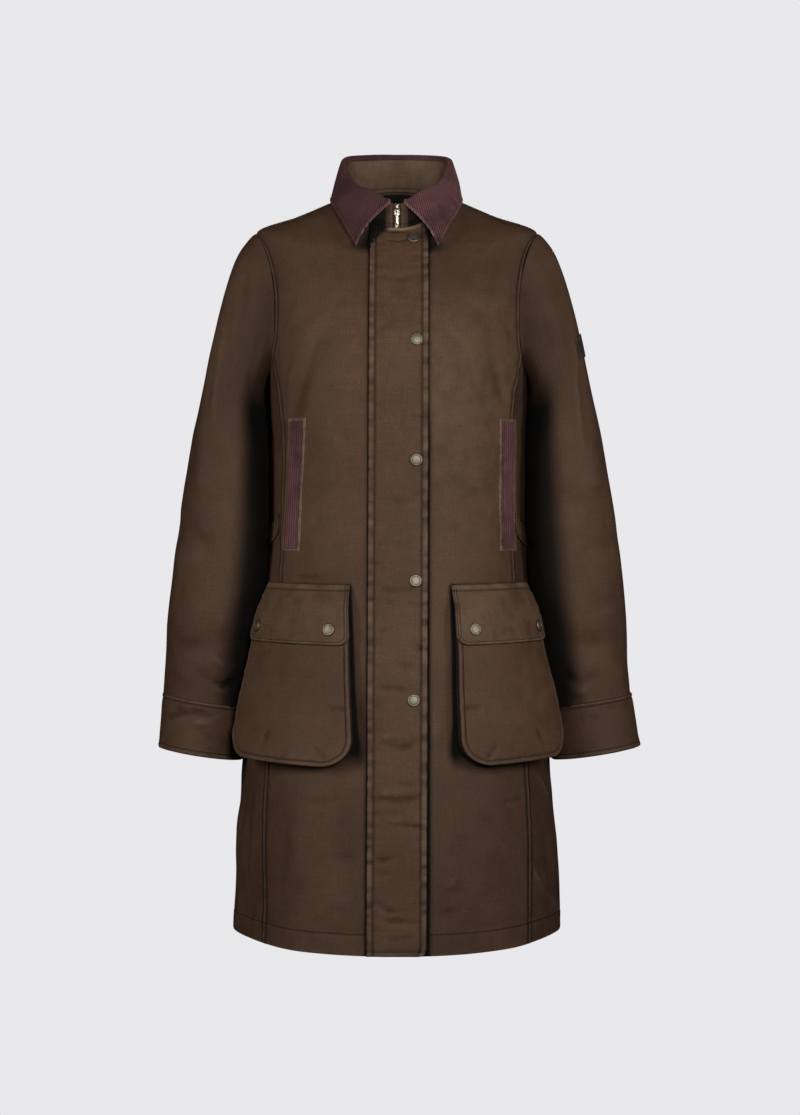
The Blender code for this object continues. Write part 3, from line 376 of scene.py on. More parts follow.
FLAP_SEEN = (
    (376, 590, 400, 592, 421, 588, -0.8, 3.5), (378, 603, 388, 604, 397, 605, -0.5, 4),
    (377, 632, 384, 631, 391, 630, -0.6, 3), (405, 604, 414, 605, 422, 606, -0.6, 3),
    (410, 645, 418, 648, 424, 652, -0.7, 3.5), (395, 665, 407, 668, 418, 670, -0.6, 4),
    (378, 688, 394, 690, 408, 692, -0.9, 3), (383, 746, 402, 750, 418, 744, -0.8, 4),
    (380, 737, 388, 738, 397, 739, 0.6, 4), (395, 784, 406, 786, 416, 788, -0.6, 3),
    (374, 800, 396, 802, 421, 799, -1.1, 3.5), (377, 795, 388, 794, 402, 794, 0.7, 4),
    (400, 826, 410, 827, 420, 828, -0.9, 3), (385, 820, 394, 822, 403, 823, 0.6, 4),
    (376, 864, 388, 860, 397, 858, -0.9, 3), (376, 877, 382, 876, 389, 875, -0.5, 3),
    (376, 905, 390, 912, 403, 914, -0.7, 4), (382, 921, 398, 923, 413, 925, -1, 3.5),
    (388, 941, 398, 940, 410, 939, -0.6, 3), (376, 275, 400, 280, 420, 272, -0.5, 6),
    (378, 331, 392, 333, 406, 335, 0.4, 8), (378, 411, 390, 408, 402, 405, -0.4, 6),
    (380, 500, 396, 503, 413, 505, -0.5, 5), (380, 541, 398, 540, 416, 538, 0.4, 6),
    (387, 240, 398, 243, 409, 240, -1, 3),
)
SLEEVES_SEEN = {
    RIGHT: (
        (236, 262, 224, 330, 216, 380, 211, 436, 0.8, 5), (250, 256, 241, 300, 237, 342, -1, 8),
        (262, 305, 256, 350, 251, 400, -0.9, 9), (180, 520, 204, 543, 226, 540, -1, 10),
        (172, 600, 184, 595, 196, 590, -0.8, 9), (205, 655, 225, 667, 243, 671, 1.8, 6),
        (200, 675, 222, 686, 242, 680, -1.7, 5), (212, 692, 222, 692, 231, 690, 1, 4),
        (170, 640, 186, 648, 200, 656, -0.8, 10), (168, 667, 180, 673, 190, 681, 0.8, 8),
    ),
    LEFT: (
        (544, 242, 567, 300, 577, 390, 587, 480, 0.8, 5), (540, 292, 552, 330, 556, 372, -1, 8),
        (600, 520, 588, 535, 575, 545, -0.9, 10), (615, 600, 602, 609, 590, 615, -0.8, 9),
        (577, 650, 600, 641, 621, 650, -1, 8), (562, 671, 580, 680, 600, 673, -1.4, 6),
        (567, 688, 578, 690, 591, 689, 1.2, 5),
    ),
}
CUFFS_SEEN = {
    RIGHT: (
        (165, 719, 194, 712, 214, 717, -2.2, 3.5), (170, 708, 177, 709, 184, 710, -1.3, 3),
        (190, 725, 203, 724, 216, 722, 1.4, 5), (200, 735, 216, 741, 232, 745, -0.8, 6),
    ),
    LEFT: (
        (575, 721, 590, 718, 606, 716, -0.8, 6),
    ),
}
# Creases placed with degrees of turn and millimetres of rise for the pixels: at the outline,
# where a pixel gives no sure turn, and where the photograph does not look
OUTLINE_CREASES = (
    (51, 94, 59.5, 59, 78, 20, 1.8, 4), (59, 160, 64.2, 100, 70, 35, -1, 8),
    (-72, 193, -74, 151, -76, 90, -1.1, 7),
)
BACK_CREASES = (
    (126, 700, 137, 655, 152, 630, -1.1, 8), (234, 705, 222, 660, 206, 640, -1.2, 8),
    (132, 790, 146, 770, 165, 775, -0.8, 12), (226, 795, 212, 772, 196, 776, -0.8, 12),
    (128, 560, 144, 535, 166, 540, 1.1, 8), (232, 550, 214, 528, 192, 532, 1, 9),
    (134, 425, 150, 405, 160, 370, -1.2, 10), (226, 420, 210, 395, 202, 350, -1.2, 10),
    (168, 300, 171, 200, 168, 80, 1, 14), (196, 220, 193, 140, 194, 40, -1.1, 13),
    (138, 150, 146, 130, 155, 128, -0.9, 5), (222, 170, 212, 150, 204, 148, -0.9, 5),
    (92, 640, 98, 600, 108, 575, -1, 7), (-92, 635, -98, 600, -108, 570, -1, 7),
    (96, 330, 92, 240, 94, 130, 1.2, 9), (-96, 320, -92, 240, -95, 120, 1.2, 9),
)
# On a sleeve, with lengths from the armhole in place of rises
HIDDEN_SLEEVE_CREASES = (
    (60, 250, 95, 285, 140, 290, -1.4, 9), (50, 320, 90, 312, 130, 335, 1.4, 9),
    (70, 360, 110, 350, 150, 365, -1.2, 8), (40, 440, 80, 455, 125, 450, -1.2, 8),
    (150, 210, 185, 235, 215, 225, -1.3, 8), (165, 300, 195, 315, 225, 305, -1.4, 8),
    (60, 45, 85, 90, 100, 150, -1, 9),
)
# On a cuff, with drops below its top
PLACED_CUFF_CREASES = {RIGHT: (), LEFT: ((-80, 6, -57, 6, -22, 8, -0.7, 5),)}
# On a pocket bag, with distances across and heights above the bottom, all in millimetres
BAG_CREASES = (
    (4, 66, 14, 68, 24, 66, -1.3, 2.8), (30, 115, 55, 100, 85, 104, -0.4, 9),
    (50, 60, 75, 45, 100, 50, 0.8, 10), (46, 3, 47, 10, 46, 17, -0.4, 2.8),
    (62, 3, 61, 11, 63, 20, -0.3, 2.8), (78, 3, 79, 10, 77, 18, -0.4, 2.8),
    (30, 6, 34, 14, 42, 22, -1.2, 3), (112, 14, 106, 24, 100, 42, -1.3, 3.5),
    (120, 90, 108, 75, 104, 55, -0.5, 7),
)

# How finely cloth is gridded, and where rows and columns stand close together beside an edge or a line
CLOTH_STEP = 0.0046
EDGE_MARKS = (0.0, 0.0005, 0.0012, 0.0020, 0.0030, 0.0042, 0.0050, 0.0058, 0.0070, 0.0080, 0.0090, 0.0110,
              0.0150)
HEM_MARKS = (0.0, 0.0006, 0.0015, 0.0030, 0.0060, 0.0100, 0.0150, 0.0200, 0.0232, 0.0240, 0.0248, 0.0256,
             0.0264, 0.0290)
LINE_MARKS, LINE_ROOM = (-0.0058, -0.0041, -0.0027, -0.0014, -0.0003, 0.0012, 0.0025, 0.0041), 0.022
WALK_POINTS = 81
CUFF_STEP, FLAP_STEP, WELT_STEP, STRAP_STEP = 0.003, 0.0038, 0.004, 0.002
BAG_STEPS, POCKET_FLAP_STEPS = (0.0022, 0.0024), (0.0026, 0.0028)
CUFF_COLUMNS, STAND_COLUMNS, FALL_COLUMNS = 96, 160, 720
STAND_LEVELS, ROLL_LEVELS, GUSSET_LEVELS, FRAME_LEVELS = 18, 15, 13, 7
# Which of the marks carry stitches
SEAM_ROW, WIDE_ROW, HEM_ROW = 6, 9, 10
HEM_STITCH = HEM_MARKS[HEM_ROW]

# Units of the crease tables
MILLIMETRE = 0.001
BODY_DEGREE, SLEEVE_DEGREE = math.radians(FOLD_RADIUS), math.radians(SLEEVE_RADIUS)
# Creases: skew, depth of all, the half-width above which they colour less, reach in half-widths, unevenness
CREASE_LEAN, CREASE_DEPTH, CREASE_FINE, CREASE_REACH, CREASE_UNEVEN = 0.55, 1.6, 0.005, 3.5, 0.35
# The height at which a crease has its full colouring, how much its ridges are rubbed and lit with painted
# highlight and its troughs darkened with painted shade, and how much more the flap creases
CREASE_FULL, RIDGE_WEAR_AND_LIGHT, TROUGH_SHADE, FLAP_CREASING = 0.0016, 0.14, 0.26, 1.5
# Low unevenness of cloth that was folded and worn: heights and cells
SOFT_WAVES = ((0.0010, 0.060), (0.0004, 0.024))
RIPPLE_SIZE = 64

# Distance of the pockets' stitches from the edge
BAG_STITCH, FLAP_STITCH = 0.0056, 0.0032
# Turned edges: width and height of the raised band, rows of stitches, half-width and depth of dark lines
BODY_FELL = (0.0086, 0.0007, (0.0080,), 0.0018, 1.6)
FLAP_FELL = (0.0086, 0.0007, (0.0080,), 0.0012, 1.4)
FLAP_HEAD = (0.0055, 0.0008, ())
FLAP_FOOT = (0.0074, 0.0004, (0.0060,))
CUFF_HEAD = (0.0045, 0.0005)
CUFF_MOUTH = (0.0072, 0.0006, (0.0058,))
STAND_FOOT = (0.0060, 0.0003)
FALL_EDGE = (0.0060, 0.0006)
STRAP_EDGE = (0.0040, 0.0005, (0.0042,))
STRAP_TIP = (0.0040, 0.0003, ())
BAG_FELL = (0.0046, 0.0007, (BAG_STITCH,))
POCKET_FLAP_FELL = (0.0036, 0.0003, (FLAP_STITCH,), 0.0007)
POCKET_FLAP_HEAD = (0.0086, 0.0009, (0.0080,), 0.0012)
# How far the edge and a row of stitches sink, how dark they are, and how worn the band and its rim are
EDGE_SINK, EDGE_SHADE = 0.0006, 0.90
ROW_SINK, ROW_HALF, ROW_SHADE = 0.0008, 0.0008, 0.62
BAND_WEAR, RIM_WEAR = 0.14, 0.12
# Puckers beside stitches: height and reach, then the cell of all and how far they are drawn out
HEM_PUCKER, CAP_PUCKER, WRIST_PUCKER = (0.0006, 0.014), (0.0009, 0.018), (0.0007, 0.014)
FLAP_PUCKER, BAG_PUCKER, POCKET_FLAP_PUCKER = (0.0011, 0.010), (0.0007, 0.010), (0.0006, 0.012)
PUCKER_CELL, PUCKER_DRAW = 0.0075, 0.35

# Painted light and painted shade of whole areas; the arms are darkened with painted shade from an angle
# inwards
CHEST_PAINTED_LIGHT = {LEFT: 0.14, RIGHT: 0.04}
SHOULDER_SHADE = {LEFT: 0.16, RIGHT: 0.04}
SKIRT_SHADE = {LEFT: 0.26, RIGHT: 0.16}
SIDE_SHADE = {LEFT: 0.42, RIGHT: 0.12}
ARM_DARK_FROM, ARM_DARK_SPAN = {LEFT: 92, RIGHT: 100}, 32
ARM_SHADE, INNER_ARM_SHADE, UNDERARM_SHADE = 0.14, 0.90, 0.30
CUFF_SHADE = {LEFT: 0.24, RIGHT: 0.14}
POCKET_FLAP_PAINTED_LIGHT = {LEFT: 0.18, RIGHT: 0.11}
GUSSET_SHADE = 0.8

# Seeds of the waves and puckers
BODY_SEED, SLEEVE_SEED, FRONT_SEED, BACK_SEED, HEM_SEED = 11, 21, 31, 51, 7
CAP_SEED, WRIST_SEED, CUFF_SEED, MOUTH_SEED, STAND_SEED, FALL_SEED = 67, 71, 75, 78, 81, 83
FLAP_SEEDS, DRAWN_SEED, FRAME_SEED, ROUGH_SEED = (91, 92), 4, 101, 103
BAG_SEED, POCKET_FLAP_SEED, POCKET_WAVE_SEED = 111, 121, 124

# Collar: rise of the fold at the back, hollow at the fall's ends, and places of the roll inside the neck
COLLAR_BOW, COLLAR_HOLLOW = 0.0022, 0.0055
ROLL_INSIDE = ((-0.0040, 0.0020), (-0.0049, -0.0034))
# How far the stand's foot goes under the neck edge, a cuff's top over the sleeve, and a sleeve's head rolls
STAND_TUCK, CUFF_LAP, HEAD_ROLL = 0.003, 0.0030, 0.0014

# Points and normals of each finished sheet, for what is set on it later
grids = {}


def named(piece, side):
    """Name of a piece that has a right and a left one."""
    return piece + "_" + SIDE_NAMES[side]


def ripple(u, v, cell, seed):
    """Smooth uneven waves from -1 to 1 on a lattice of square cells."""
    size = RIPPLE_SIZE
    heights = np.random.default_rng(seed).uniform(-1, 1, (size, size))
    a, b = np.broadcast_arrays(u / cell, v / cell)
    i, j = np.floor(a).astype(int), np.floor(b).astype(int)
    s, t = a - i, b - j
    s, t = s * s * (3 - 2 * s), t * t * (3 - 2 * t)
    low, high = (heights[i % size, row % size] * (1 - s) + heights[(i + 1) % size, row % size] * s
                 for row in (j, j + 1))
    return low * (1 - t) + high * t


def ramp(value, low, high):
    """0 below low, 1 above high, smooth between."""
    t = np.clip((value - low) / (high - low), 0, 1)
    return t * t * (3 - 2 * t)


def bell(distance, reach):
    return np.exp(-(distance / reach) ** 2)


def in_photo(points):
    """Column and row of the photograph's pixels at which points are seen."""
    scale = PHOTO_DISTANCE / (PHOTO_DISTANCE + points[..., 1]) / PHOTO_PIXEL
    column = PHOTO_MIDDLE[0] + points[..., 0] * scale
    return column, PHOTO_MIDDLE[1] - (points[..., 2] - PHOTO_HEIGHT) * scale


def sighted(form, turns, lengths, digits, back=math.inf):
    """A function that turns the pixels of noted creases into the nearest places seen on a form.

    The digits are what turn and length are rounded to. Points further back than given are kept off."""
    points = form(turns, lengths[:, None])
    column, row = in_photo(points)
    hidden = HIDDEN_COST * np.maximum(points[..., 1] - back, 0)

    def place(x, y):
        nearest = np.argmin((column - x) ** 2 + (row - y) ** 2 + hidden)
        level, step = np.unravel_index(nearest, column.shape)
        degrees, length = float(np.degrees(turns[step])), float(lengths[level])
        return round(degrees, digits[0]), round(length, digits[1]) / MILLIMETRE

    def placed(creases):
        return tuple((*np.ravel([place(*pixel) for pixel in np.reshape(pixels, (-1, 2))]), height, reach)
                     for *pixels, height, reach in creases)

    return placed


def cuff_form(side, turn, drop):
    """Point of a cuff before it is mirrored, at a drop below its top."""
    top, mouth = CUFFS[side]
    return tube(turn, [a + (b - a) * drop / (mouth[0] - top[0]) for a, b in zip(top, mouth)])


def sleeve_creases(side):
    placed = sighted(lambda turn, length: mirrored(sleeve_form(turn, length), side),
                     SLEEVE_TURNS, SLEEVE_LENGTHS, (0, 3), SLEEVE_BACK)
    return HIDDEN_SLEEVE_CREASES + placed(SLEEVES_SEEN[side])


def cuff_creases(side):
    top, mouth = CUFFS[side]
    placed = sighted(lambda turn, drop: mirrored(cuff_form(side, turn, drop), side),
                     CUFF_TURNS, np.linspace(0, mouth[0] - top[0], CUFF_LEVELS), (0, 4), CUFF_BACK)
    return PLACED_CUFF_CREASES[side] + placed(CUFFS_SEEN[side])


# The photograph's view: a pixel's size at the side seams, the middle pixel, the height looked at, and how
# far away the camera is
PHOTO_PIXEL, PHOTO_MIDDLE, PHOTO_HEIGHT, PHOTO_DISTANCE = 0.00125, (397.0, 557.5), -0.443, 3.0
# Where a noted pixel is looked for, and what keeps it off the far side of a sleeve
BODY_TURNS, BODY_RISES = np.radians(np.linspace(-100, 100, 801)), np.linspace(0, 0.93, 931)
SLEEVE_TURNS, SLEEVE_LENGTHS = np.radians(np.linspace(-175, 60, 471)), np.linspace(0, SLEEVE_LENGTH, 541)
CUFF_TURNS, CUFF_LEVELS = np.radians(np.linspace(-180, 40, 221)), 101
HIDDEN_COST, SLEEVE_BACK, CUFF_BACK = 1000.0, 0.01, 0.02
front_places = sighted(body_form, BODY_TURNS, BODY_RISES, (1, 3))
BODY_CREASES = front_places(FRONT_SEEN) + OUTLINE_CREASES + front_places(SKIRT_SEEN) + BACK_CREASES
FLAP_CREASES = front_places(FLAP_SEEN)
SLEEVE_CREASES = {side: sleeve_creases(side) for side in (RIGHT, LEFT)}
CUFF_CREASES = {side: cuff_creases(side) for side in (RIGHT, LEFT)}


def crease_height(creases, scale, u, v):
    """Height and colouring of creases: uneven along the line, steeper on one side, fading at the ends.

    The scale is the length of one unit of the places' first numbers. The colouring is the height again,
    but less for a broad crease."""
    u, v = np.broadcast_arrays(u, v)
    total = np.zeros((2, *u.shape))
    for number, (*places, height, reach) in enumerate(creases):
        line = np.reshape(places, (-1, 2)) * (scale, MILLIMETRE)
        height, reach = height * MILLIMETRE, reach * MILLIMETRE
        low, high = line.min(axis=0) - CREASE_REACH * reach, line.max(axis=0) + CREASE_REACH * reach
        near = (u > low[0]) & (u < high[0]) & (v > low[1]) & (v < high[1])
        if not near.any():
            continue
        a, b = u[near], v[near]
        closest, along, offset = np.full(a.shape, np.inf), np.zeros(a.shape), np.zeros(a.shape)
        steps = np.diff(line, axis=0)
        spans = np.hypot(*steps.T)
        starts = np.concatenate([[0.0], np.cumsum(spans)])
        for (pu, pv), (du, dv), span, start in zip(line, steps, spans, starts):
            t = np.clip(((a - pu) * du + (b - pv) * dv) / span ** 2, 0, 1)
            far = np.hypot(a - pu - t * du, b - pv - t * dv)
            closer = far < closest
            closest = np.where(closer, far, closest)
            along = np.where(closer, (start + t * span) / starts[-1], along)
            offset = np.where(closer, far * np.sign((a - pu) * dv - (b - pv) * du), offset)
        fade = np.sin(math.pi * np.clip(along, 0.03, 0.97)) ** 0.7
        uneven = 1 + CREASE_UNEVEN * np.sin(9 * along + 2.1 * number)
        q = offset / reach
        profile = np.exp(-q * q) * (1 - CREASE_LEAN * np.clip(q, -1.2, 1.2))
        share = np.array([[1.0], [min(1.0, CREASE_FINE / reach) ** 2]])
        total[:, near] += CREASE_DEPTH * height * fade * uneven * profile * share
    return total


def creased(crease):
    """Colouring of creased cloth: rubbed and lit with painted highlight along its ridges, dark with painted
    shade along its troughs.
    """
    ridge, trough = (np.clip(way * crease / CREASE_FULL, 0, 1.2) for way in (1, -1))
    return np.stack([0 * crease, RIDGE_WEAR_AND_LIGHT * ridge ** 2, TROUGH_SHADE * trough ** 2])


def soft_waves(u, v, seed):
    return sum(height * ripple(u, v, cell, seed + number) for number, (height, cell) in enumerate(SOFT_WAVES))


def drape(turn, rise):
    """Base point, outward normal, lift and crease colouring of the body's cloth."""
    turn, rise = np.broadcast_arrays(np.asarray(turn, float), np.asarray(rise, float))
    around = turn * FOLD_RADIUS
    crease, colouring = crease_height(BODY_CREASES, BODY_DEGREE, around, rise)
    lift = fold_height(BODY_FOLDS + LOOSE_FOLDS, FOLD_RADIUS, turn, rise) + crease
    lift = lift + soft_waves(around, rise, BODY_SEED)
    return body_form(turn, rise), normals_of(body_form, turn, rise), lift, colouring


def on_body(turn, rise, out=0.0):
    base, normal, lift, _ = drape(turn, rise)
    return base + normal * (lift + out)[..., None]


def sleeve_around(turn):
    """Length round a sleeve, with its jump at the back seam."""
    return np.where(turn > SLEEVE_SEAM, turn - 2 * math.pi, turn) * SLEEVE_RADIUS


def sleeve_drape(side):
    """The drape of one sleeve, as a function of turn and length, before it is mirrored."""
    def drape_of(turn, length):
        turn, length = np.broadcast_arrays(np.asarray(turn, float), np.asarray(length, float))
        crease, colouring = sum(crease_height(SLEEVE_CREASES[side], SLEEVE_DEGREE, at * SLEEVE_RADIUS, length)
                                for at in (turn, turn - 2 * math.pi))
        waves = soft_waves(sleeve_around(turn), length, SLEEVE_SEED + side)
        waves = waves * (1 - bell(turn - SLEEVE_SEAM, 0.2))
        lift = fold_height(SLEEVE_FOLDS, SLEEVE_RADIUS, turn, length) + crease + waves
        return sleeve_form(turn, length), -normals_of(sleeve_form, turn, length), lift, colouring
    return drape_of


def felled(from_edge, band=0.0055, lift=0.0007, rows=(0.0050,), groove=0.0009, dark=1.0):
    """Relief, wear and shade of an edge turned under: a raised band with a groove at each row of stitches."""
    relief = lift * (1 - ramp(from_edge, band - 0.0006, band + 0.0014)) - EDGE_SINK * bell(from_edge, 0.0008)
    wear_and_light = BAND_WEAR * (1 - ramp(from_edge, band - 0.0020, band - 0.0006))
    wear_and_light = wear_and_light + RIM_WEAR * bell(from_edge - 0.0016, 0.0010)
    shade = EDGE_SHADE * dark * bell(from_edge, groove)
    for row in rows:
        relief = relief - ROW_SINK * bell(from_edge - row, ROW_HALF)
        shade = shade + ROW_SHADE * dark * bell(from_edge - row, groove)
    return np.stack([relief, wear_and_light, shade])


def pucker(from_edge, along, seed, height=0.0005, reach=0.011):
    """Small ripples that stitching draws up beside a seam."""
    return height * ripple(along, PUCKER_DRAW * from_edge, PUCKER_CELL, seed) * bell(from_edge, reach)


def marks(width, step=CLOTH_STEP, near=EDGE_MARKS):
    """Distances across rows of the given widths: close together near both edges and even between."""
    width = np.atleast_1d(width)[:, None]
    near = np.array(near)
    close = near * np.minimum(1, 0.45 * width / near[-1])
    count = max(2, int((width.max() - 2 * near[-1]) / step))
    share = np.linspace(0, 1, count + 1)[1:-1]
    middle = close[:, -1:] + (width - 2 * close[:, -1:]) * share
    return np.concatenate([close, middle, width - close[:, ::-1]], axis=1)


def across_rows(form, start, end, length, lines=()):
    """Turns of a grid whose columns keep their distance from both edges, and the distances themselves.

    Lines, each a turn for every row, have columns close together beside them."""
    share = np.linspace(0, 1, WALK_POINTS)
    turn = start[:, None] * (1 - share) + end[:, None] * share
    gone = run_along(form(turn, length[:, None]), 1)
    far = [marks(gone[:, -1])]
    for line in lines:
        at = np.array([np.interp(line[row], turn[row], gone[row]) for row in range(len(line))])
        far.append(np.clip(at, LINE_ROOM, gone[:, -1] - LINE_ROOM)[:, None] + np.array(LINE_MARKS))
    far = np.sort(np.concatenate(far, axis=1), axis=1)
    turns = np.stack([np.interp(far[row], gone[row], turn[row]) for row in range(len(far))])
    return turns, far, gone[:, -1:] - far


def run_along(points, axis):
    """Length gone along one axis of a grid of points, from its first row or column."""
    steps = np.linalg.norm(np.diff(points, axis=axis), axis=-1)
    start = np.zeros_like(np.take(steps, [0], axis=axis))
    return np.concatenate([start, np.cumsum(steps, axis=axis)], axis=axis)


def grid_normals(points):
    return unit(np.cross(np.gradient(points, axis=1), np.gradient(points, axis=0)))


def grid_faces(rows, columns, wrap):
    """Four-sided faces of a grid of points, counted row by row."""
    row, column = np.meshgrid(np.arange(rows - 1), np.arange(columns if wrap else columns - 1), indexing="ij")
    after = (column + 1) % columns
    return np.stack([row * columns + column, row * columns + after,
                     (row + 1) * columns + after, (row + 1) * columns + column], axis=-1).reshape(-1, 4)


def rim_faces(rows, columns, wrap):
    """Faces that close the wall between an outer grid and the inner grid counted after it."""
    count = rows * columns
    if wrap:
        around = np.arange(columns)
        loops = [np.append(around, 0)[::-1], np.append(around + count - columns, count - columns)]
    else:
        left = np.arange(rows) * columns
        top = count - columns + np.arange(1, columns)
        right = np.arange(rows - 2, -1, -1) * columns + columns - 1
        bottom = np.arange(columns - 2, -1, -1)
        loops = [np.concatenate([left, top, right, bottom])]
    faces = [np.stack([loop[:-1], loop[1:], loop[1:] + count, loop[:-1] + count], axis=-1) for loop in loops]
    return np.concatenate(faces)


def new_object(name, mesh, material):
    mesh.materials.append(material)
    made = bpy.data.objects.new(name, mesh)
    bpy.context.scene.collection.objects.link(made)
    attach(made, "root")
    return made


def sew(name, outer, inner, flat, slot="waxed_cotton", wear_and_light=0.0, shade=0.0, base=None, wrap=False, flip=False,
        held="hung", rests_on=(), stands_for_node=True, declared=True):
    """A sheet of cloth as a closed wall between two grids, with its flat places as a UV map."""
    rows, columns = outer.shape[:2]
    base = outer if base is None else base
    wear_and_light, shade = (np.broadcast_to(values, (rows, columns)) for values in (wear_and_light, shade))
    way = slice(None, None, -1 if flip else 1)
    outer, inner, flat, base, wear_and_light, shade = (
        values[:, way] for values in (outer, inner, flat, base, wear_and_light, shade))
    faces = grid_faces(rows, columns, wrap)
    count = rows * columns
    all_faces = np.concatenate([faces, faces[:, ::-1] + count, rim_faces(rows, columns, wrap)])
    mesh = bpy.data.meshes.new(name + "_cloth")
    mesh.from_pydata(np.concatenate([outer.reshape(-1, 3), inner.reshape(-1, 3)]), [], all_faces)
    corners = np.empty(len(mesh.loops), dtype=np.int32)
    mesh.loops.foreach_get("vertex_index", corners)
    places = np.concatenate([flat.reshape(-1, 2)] * 2)[corners]
    mesh.uv_layers.new(name="cloth").data.foreach_set("uv", places.ravel())
    # Two fields colour the sheet: rubbed edges with painted light, and painted shade with dark seam lines
    for label, values in (("wear_and_light", wear_and_light), ("shade", shade)):
        field = mesh.attributes.new(label, "FLOAT", "POINT")
        field.data.foreach_set("value", np.concatenate([values.ravel()] * 2))
    mesh.shade_smooth()
    mesh.set_sharp_from_angle(angle=math.radians(60))
    mesh.update()
    made = new_object(mesh.name, mesh, finish(slot))
    if stands_for_node:
        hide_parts(name)
    if declared:
        loop = np.concatenate([base, base[:, :1]], axis=1) if wrap else base
        width, length = run_along(loop, 1)[:, -1].max(), run_along(base, 0)[-1].max()
        [under + "_cloth" for under in rests_on]
    normals = grid_normals(outer)
    grids[name] = (outer[:, way], normals[:, way])


# Scales of the noise in the finishes, and the two stretches of the weave's streaks
BROAD_SCALE, BLOTCH_SCALE, GRAIN_SCALE, SLUB_SCALE, NAP_SCALE = 8.0, 46.0, 620.0, 900.0, 1500.0
STAIN_SCALE, SCUFF_SCALE = 260.0, 2600.0
STREAKS = ((620.0, 34.0, 1.0), (30.0, 560.0, 1.0))
SHEEN_TINT = (0.60, 0.34, 0.36, 1.0)
# Cloth finishes: ground, deep and rubbed colours, specular level, strength of the weave's bumps; the rubbed
# colour shows rubbed edges and painted light
CLOTHS = {
    "waxed_cotton": ("waxed", "waxed_deep", "rubbed", 0.18, 0.22),
    "dark_lining": ("lining", "lining", "lining", 0.30, 0.10),
    "zip_tape": ("tape", "tape", "waxed", 0.20, 0.35),
    "patch": ("patch", "patch", "waxed", 0.30, 0.30),
    "sewing_thread": ("thread", "waxed_deep", "rubbed", 0.30, 0.10),
}
# Metal finishes: bright colour and roughness
METALS = {"antique_brass": ("brass", 0.48), "zip_metal": ("zip_metal", 0.22)}


class Graph:
    """A node tree, with short calls that add a node and fill or link its sockets."""

    def __init__(self, tree):
        self.tree = tree

    def fill(self, node, inputs):
        for key, value in inputs.items():
            if isinstance(value, bpy.types.NodeSocket):
                self.tree.links.new(value, node.inputs[key])
            else:
                node.inputs[key].default_value = value

    def add(self, kind, inputs=None, **settings):
        node = self.tree.nodes.new(kind)
        for key, value in settings.items():
            setattr(node, key, value)
        self.fill(node, inputs or {})
        return node

    def math(self, operation, a, b=0.0, clamp=False):
        return self.add("ShaderNodeMath", {0: a, 1: b}, operation=operation, use_clamp=clamp).outputs[0]

    def mix(self, share, a, b, blend="MIX"):
        sockets = {0: share, 6: a, 7: b}
        return self.add("ShaderNodeMix", sockets, data_type="RGBA", blend_type=blend).outputs[2]

    def scaled(self, colour, value):
        """A colour times a value."""
        grey = self.add("ShaderNodeCombineXYZ", {0: value, 1: value, 2: value}).outputs[0]
        return self.mix(1.0, colour, grey, "MULTIPLY")

    def span(self, value, low, high, to_low=0.0, to_high=1.0):
        sockets = {0: value, 1: low, 2: high, 3: to_low, 4: to_high}
        return self.add("ShaderNodeMapRange", sockets, interpolation_type="SMOOTHSTEP").outputs[0]

    def noise(self, place, scale, detail=3.0, roughness=0.55):
        sockets = {"Vector": place, "Scale": scale, "Detail": detail, "Roughness": roughness}
        return self.add("ShaderNodeTexNoise", sockets).outputs[0]

    def bump(self, height, strength, distance):
        sockets = {"Strength": strength, "Distance": distance, "Height": height}
        return self.add("ShaderNodeBump", sockets).outputs[0]

    def place(self):
        return self.add("ShaderNodeTexCoord").outputs["Object"]

    def field(self, name):
        return self.add("ShaderNodeAttribute", attribute_name=name).outputs["Fac"]

    def group(self, maker, inputs):
        """A shared group, made at its first use."""
        tree = bpy.data.node_groups.get(maker.__name__) or maker()
        return self.add("ShaderNodeGroup", inputs, node_tree=tree).outputs


def node_group(name, sockets_in, sockets_out):
    """An empty shader group with the named sockets, its graph and what it is given."""
    tree = bpy.data.node_groups.new(name, "ShaderNodeTree")
    for way, sockets in (("INPUT", sockets_in), ("OUTPUT", sockets_out)):
        for label, kind in sockets.items():
            tree.interface.new_socket(label, in_out=way, socket_type="NodeSocket" + kind)
    graph = Graph(tree)
    return tree, graph, graph.add("NodeGroupInput").outputs


def plain_weave():
    """Height of a plain weave, two crossed sets of threads with slubs, and its faint streaks."""
    tree, graph, given = node_group("plain_weave", {"Place": "Vector", "Spacing": "Float"},
                                    {"Height": "Float", "Streak": "Float"})
    apart = graph.add("ShaderNodeSeparateXYZ", {0: given["Place"]}).outputs
    turns = graph.math("DIVIDE", 2 * math.pi, given["Spacing"])
    warp, weft = (graph.math("SINE", graph.math("MULTIPLY", apart[axis], turns)) for axis in (0, 1))
    threads = graph.math("MULTIPLY", graph.math("MULTIPLY", warp, weft), 0.5)
    slub = graph.noise(given["Place"], SLUB_SCALE, 2.0)
    streaks = []
    for stretch in STREAKS:
        drawn = graph.add("ShaderNodeVectorMath", {0: given["Place"], 1: stretch}, operation="MULTIPLY")
        streaks.append(graph.noise(drawn.outputs[0], 1.0, 2.0, 0.6))
    graph.add("NodeGroupOutput", {"Height": graph.math("ADD", threads, slub),
                                  "Streak": graph.math("ADD", *streaks)})
    return tree


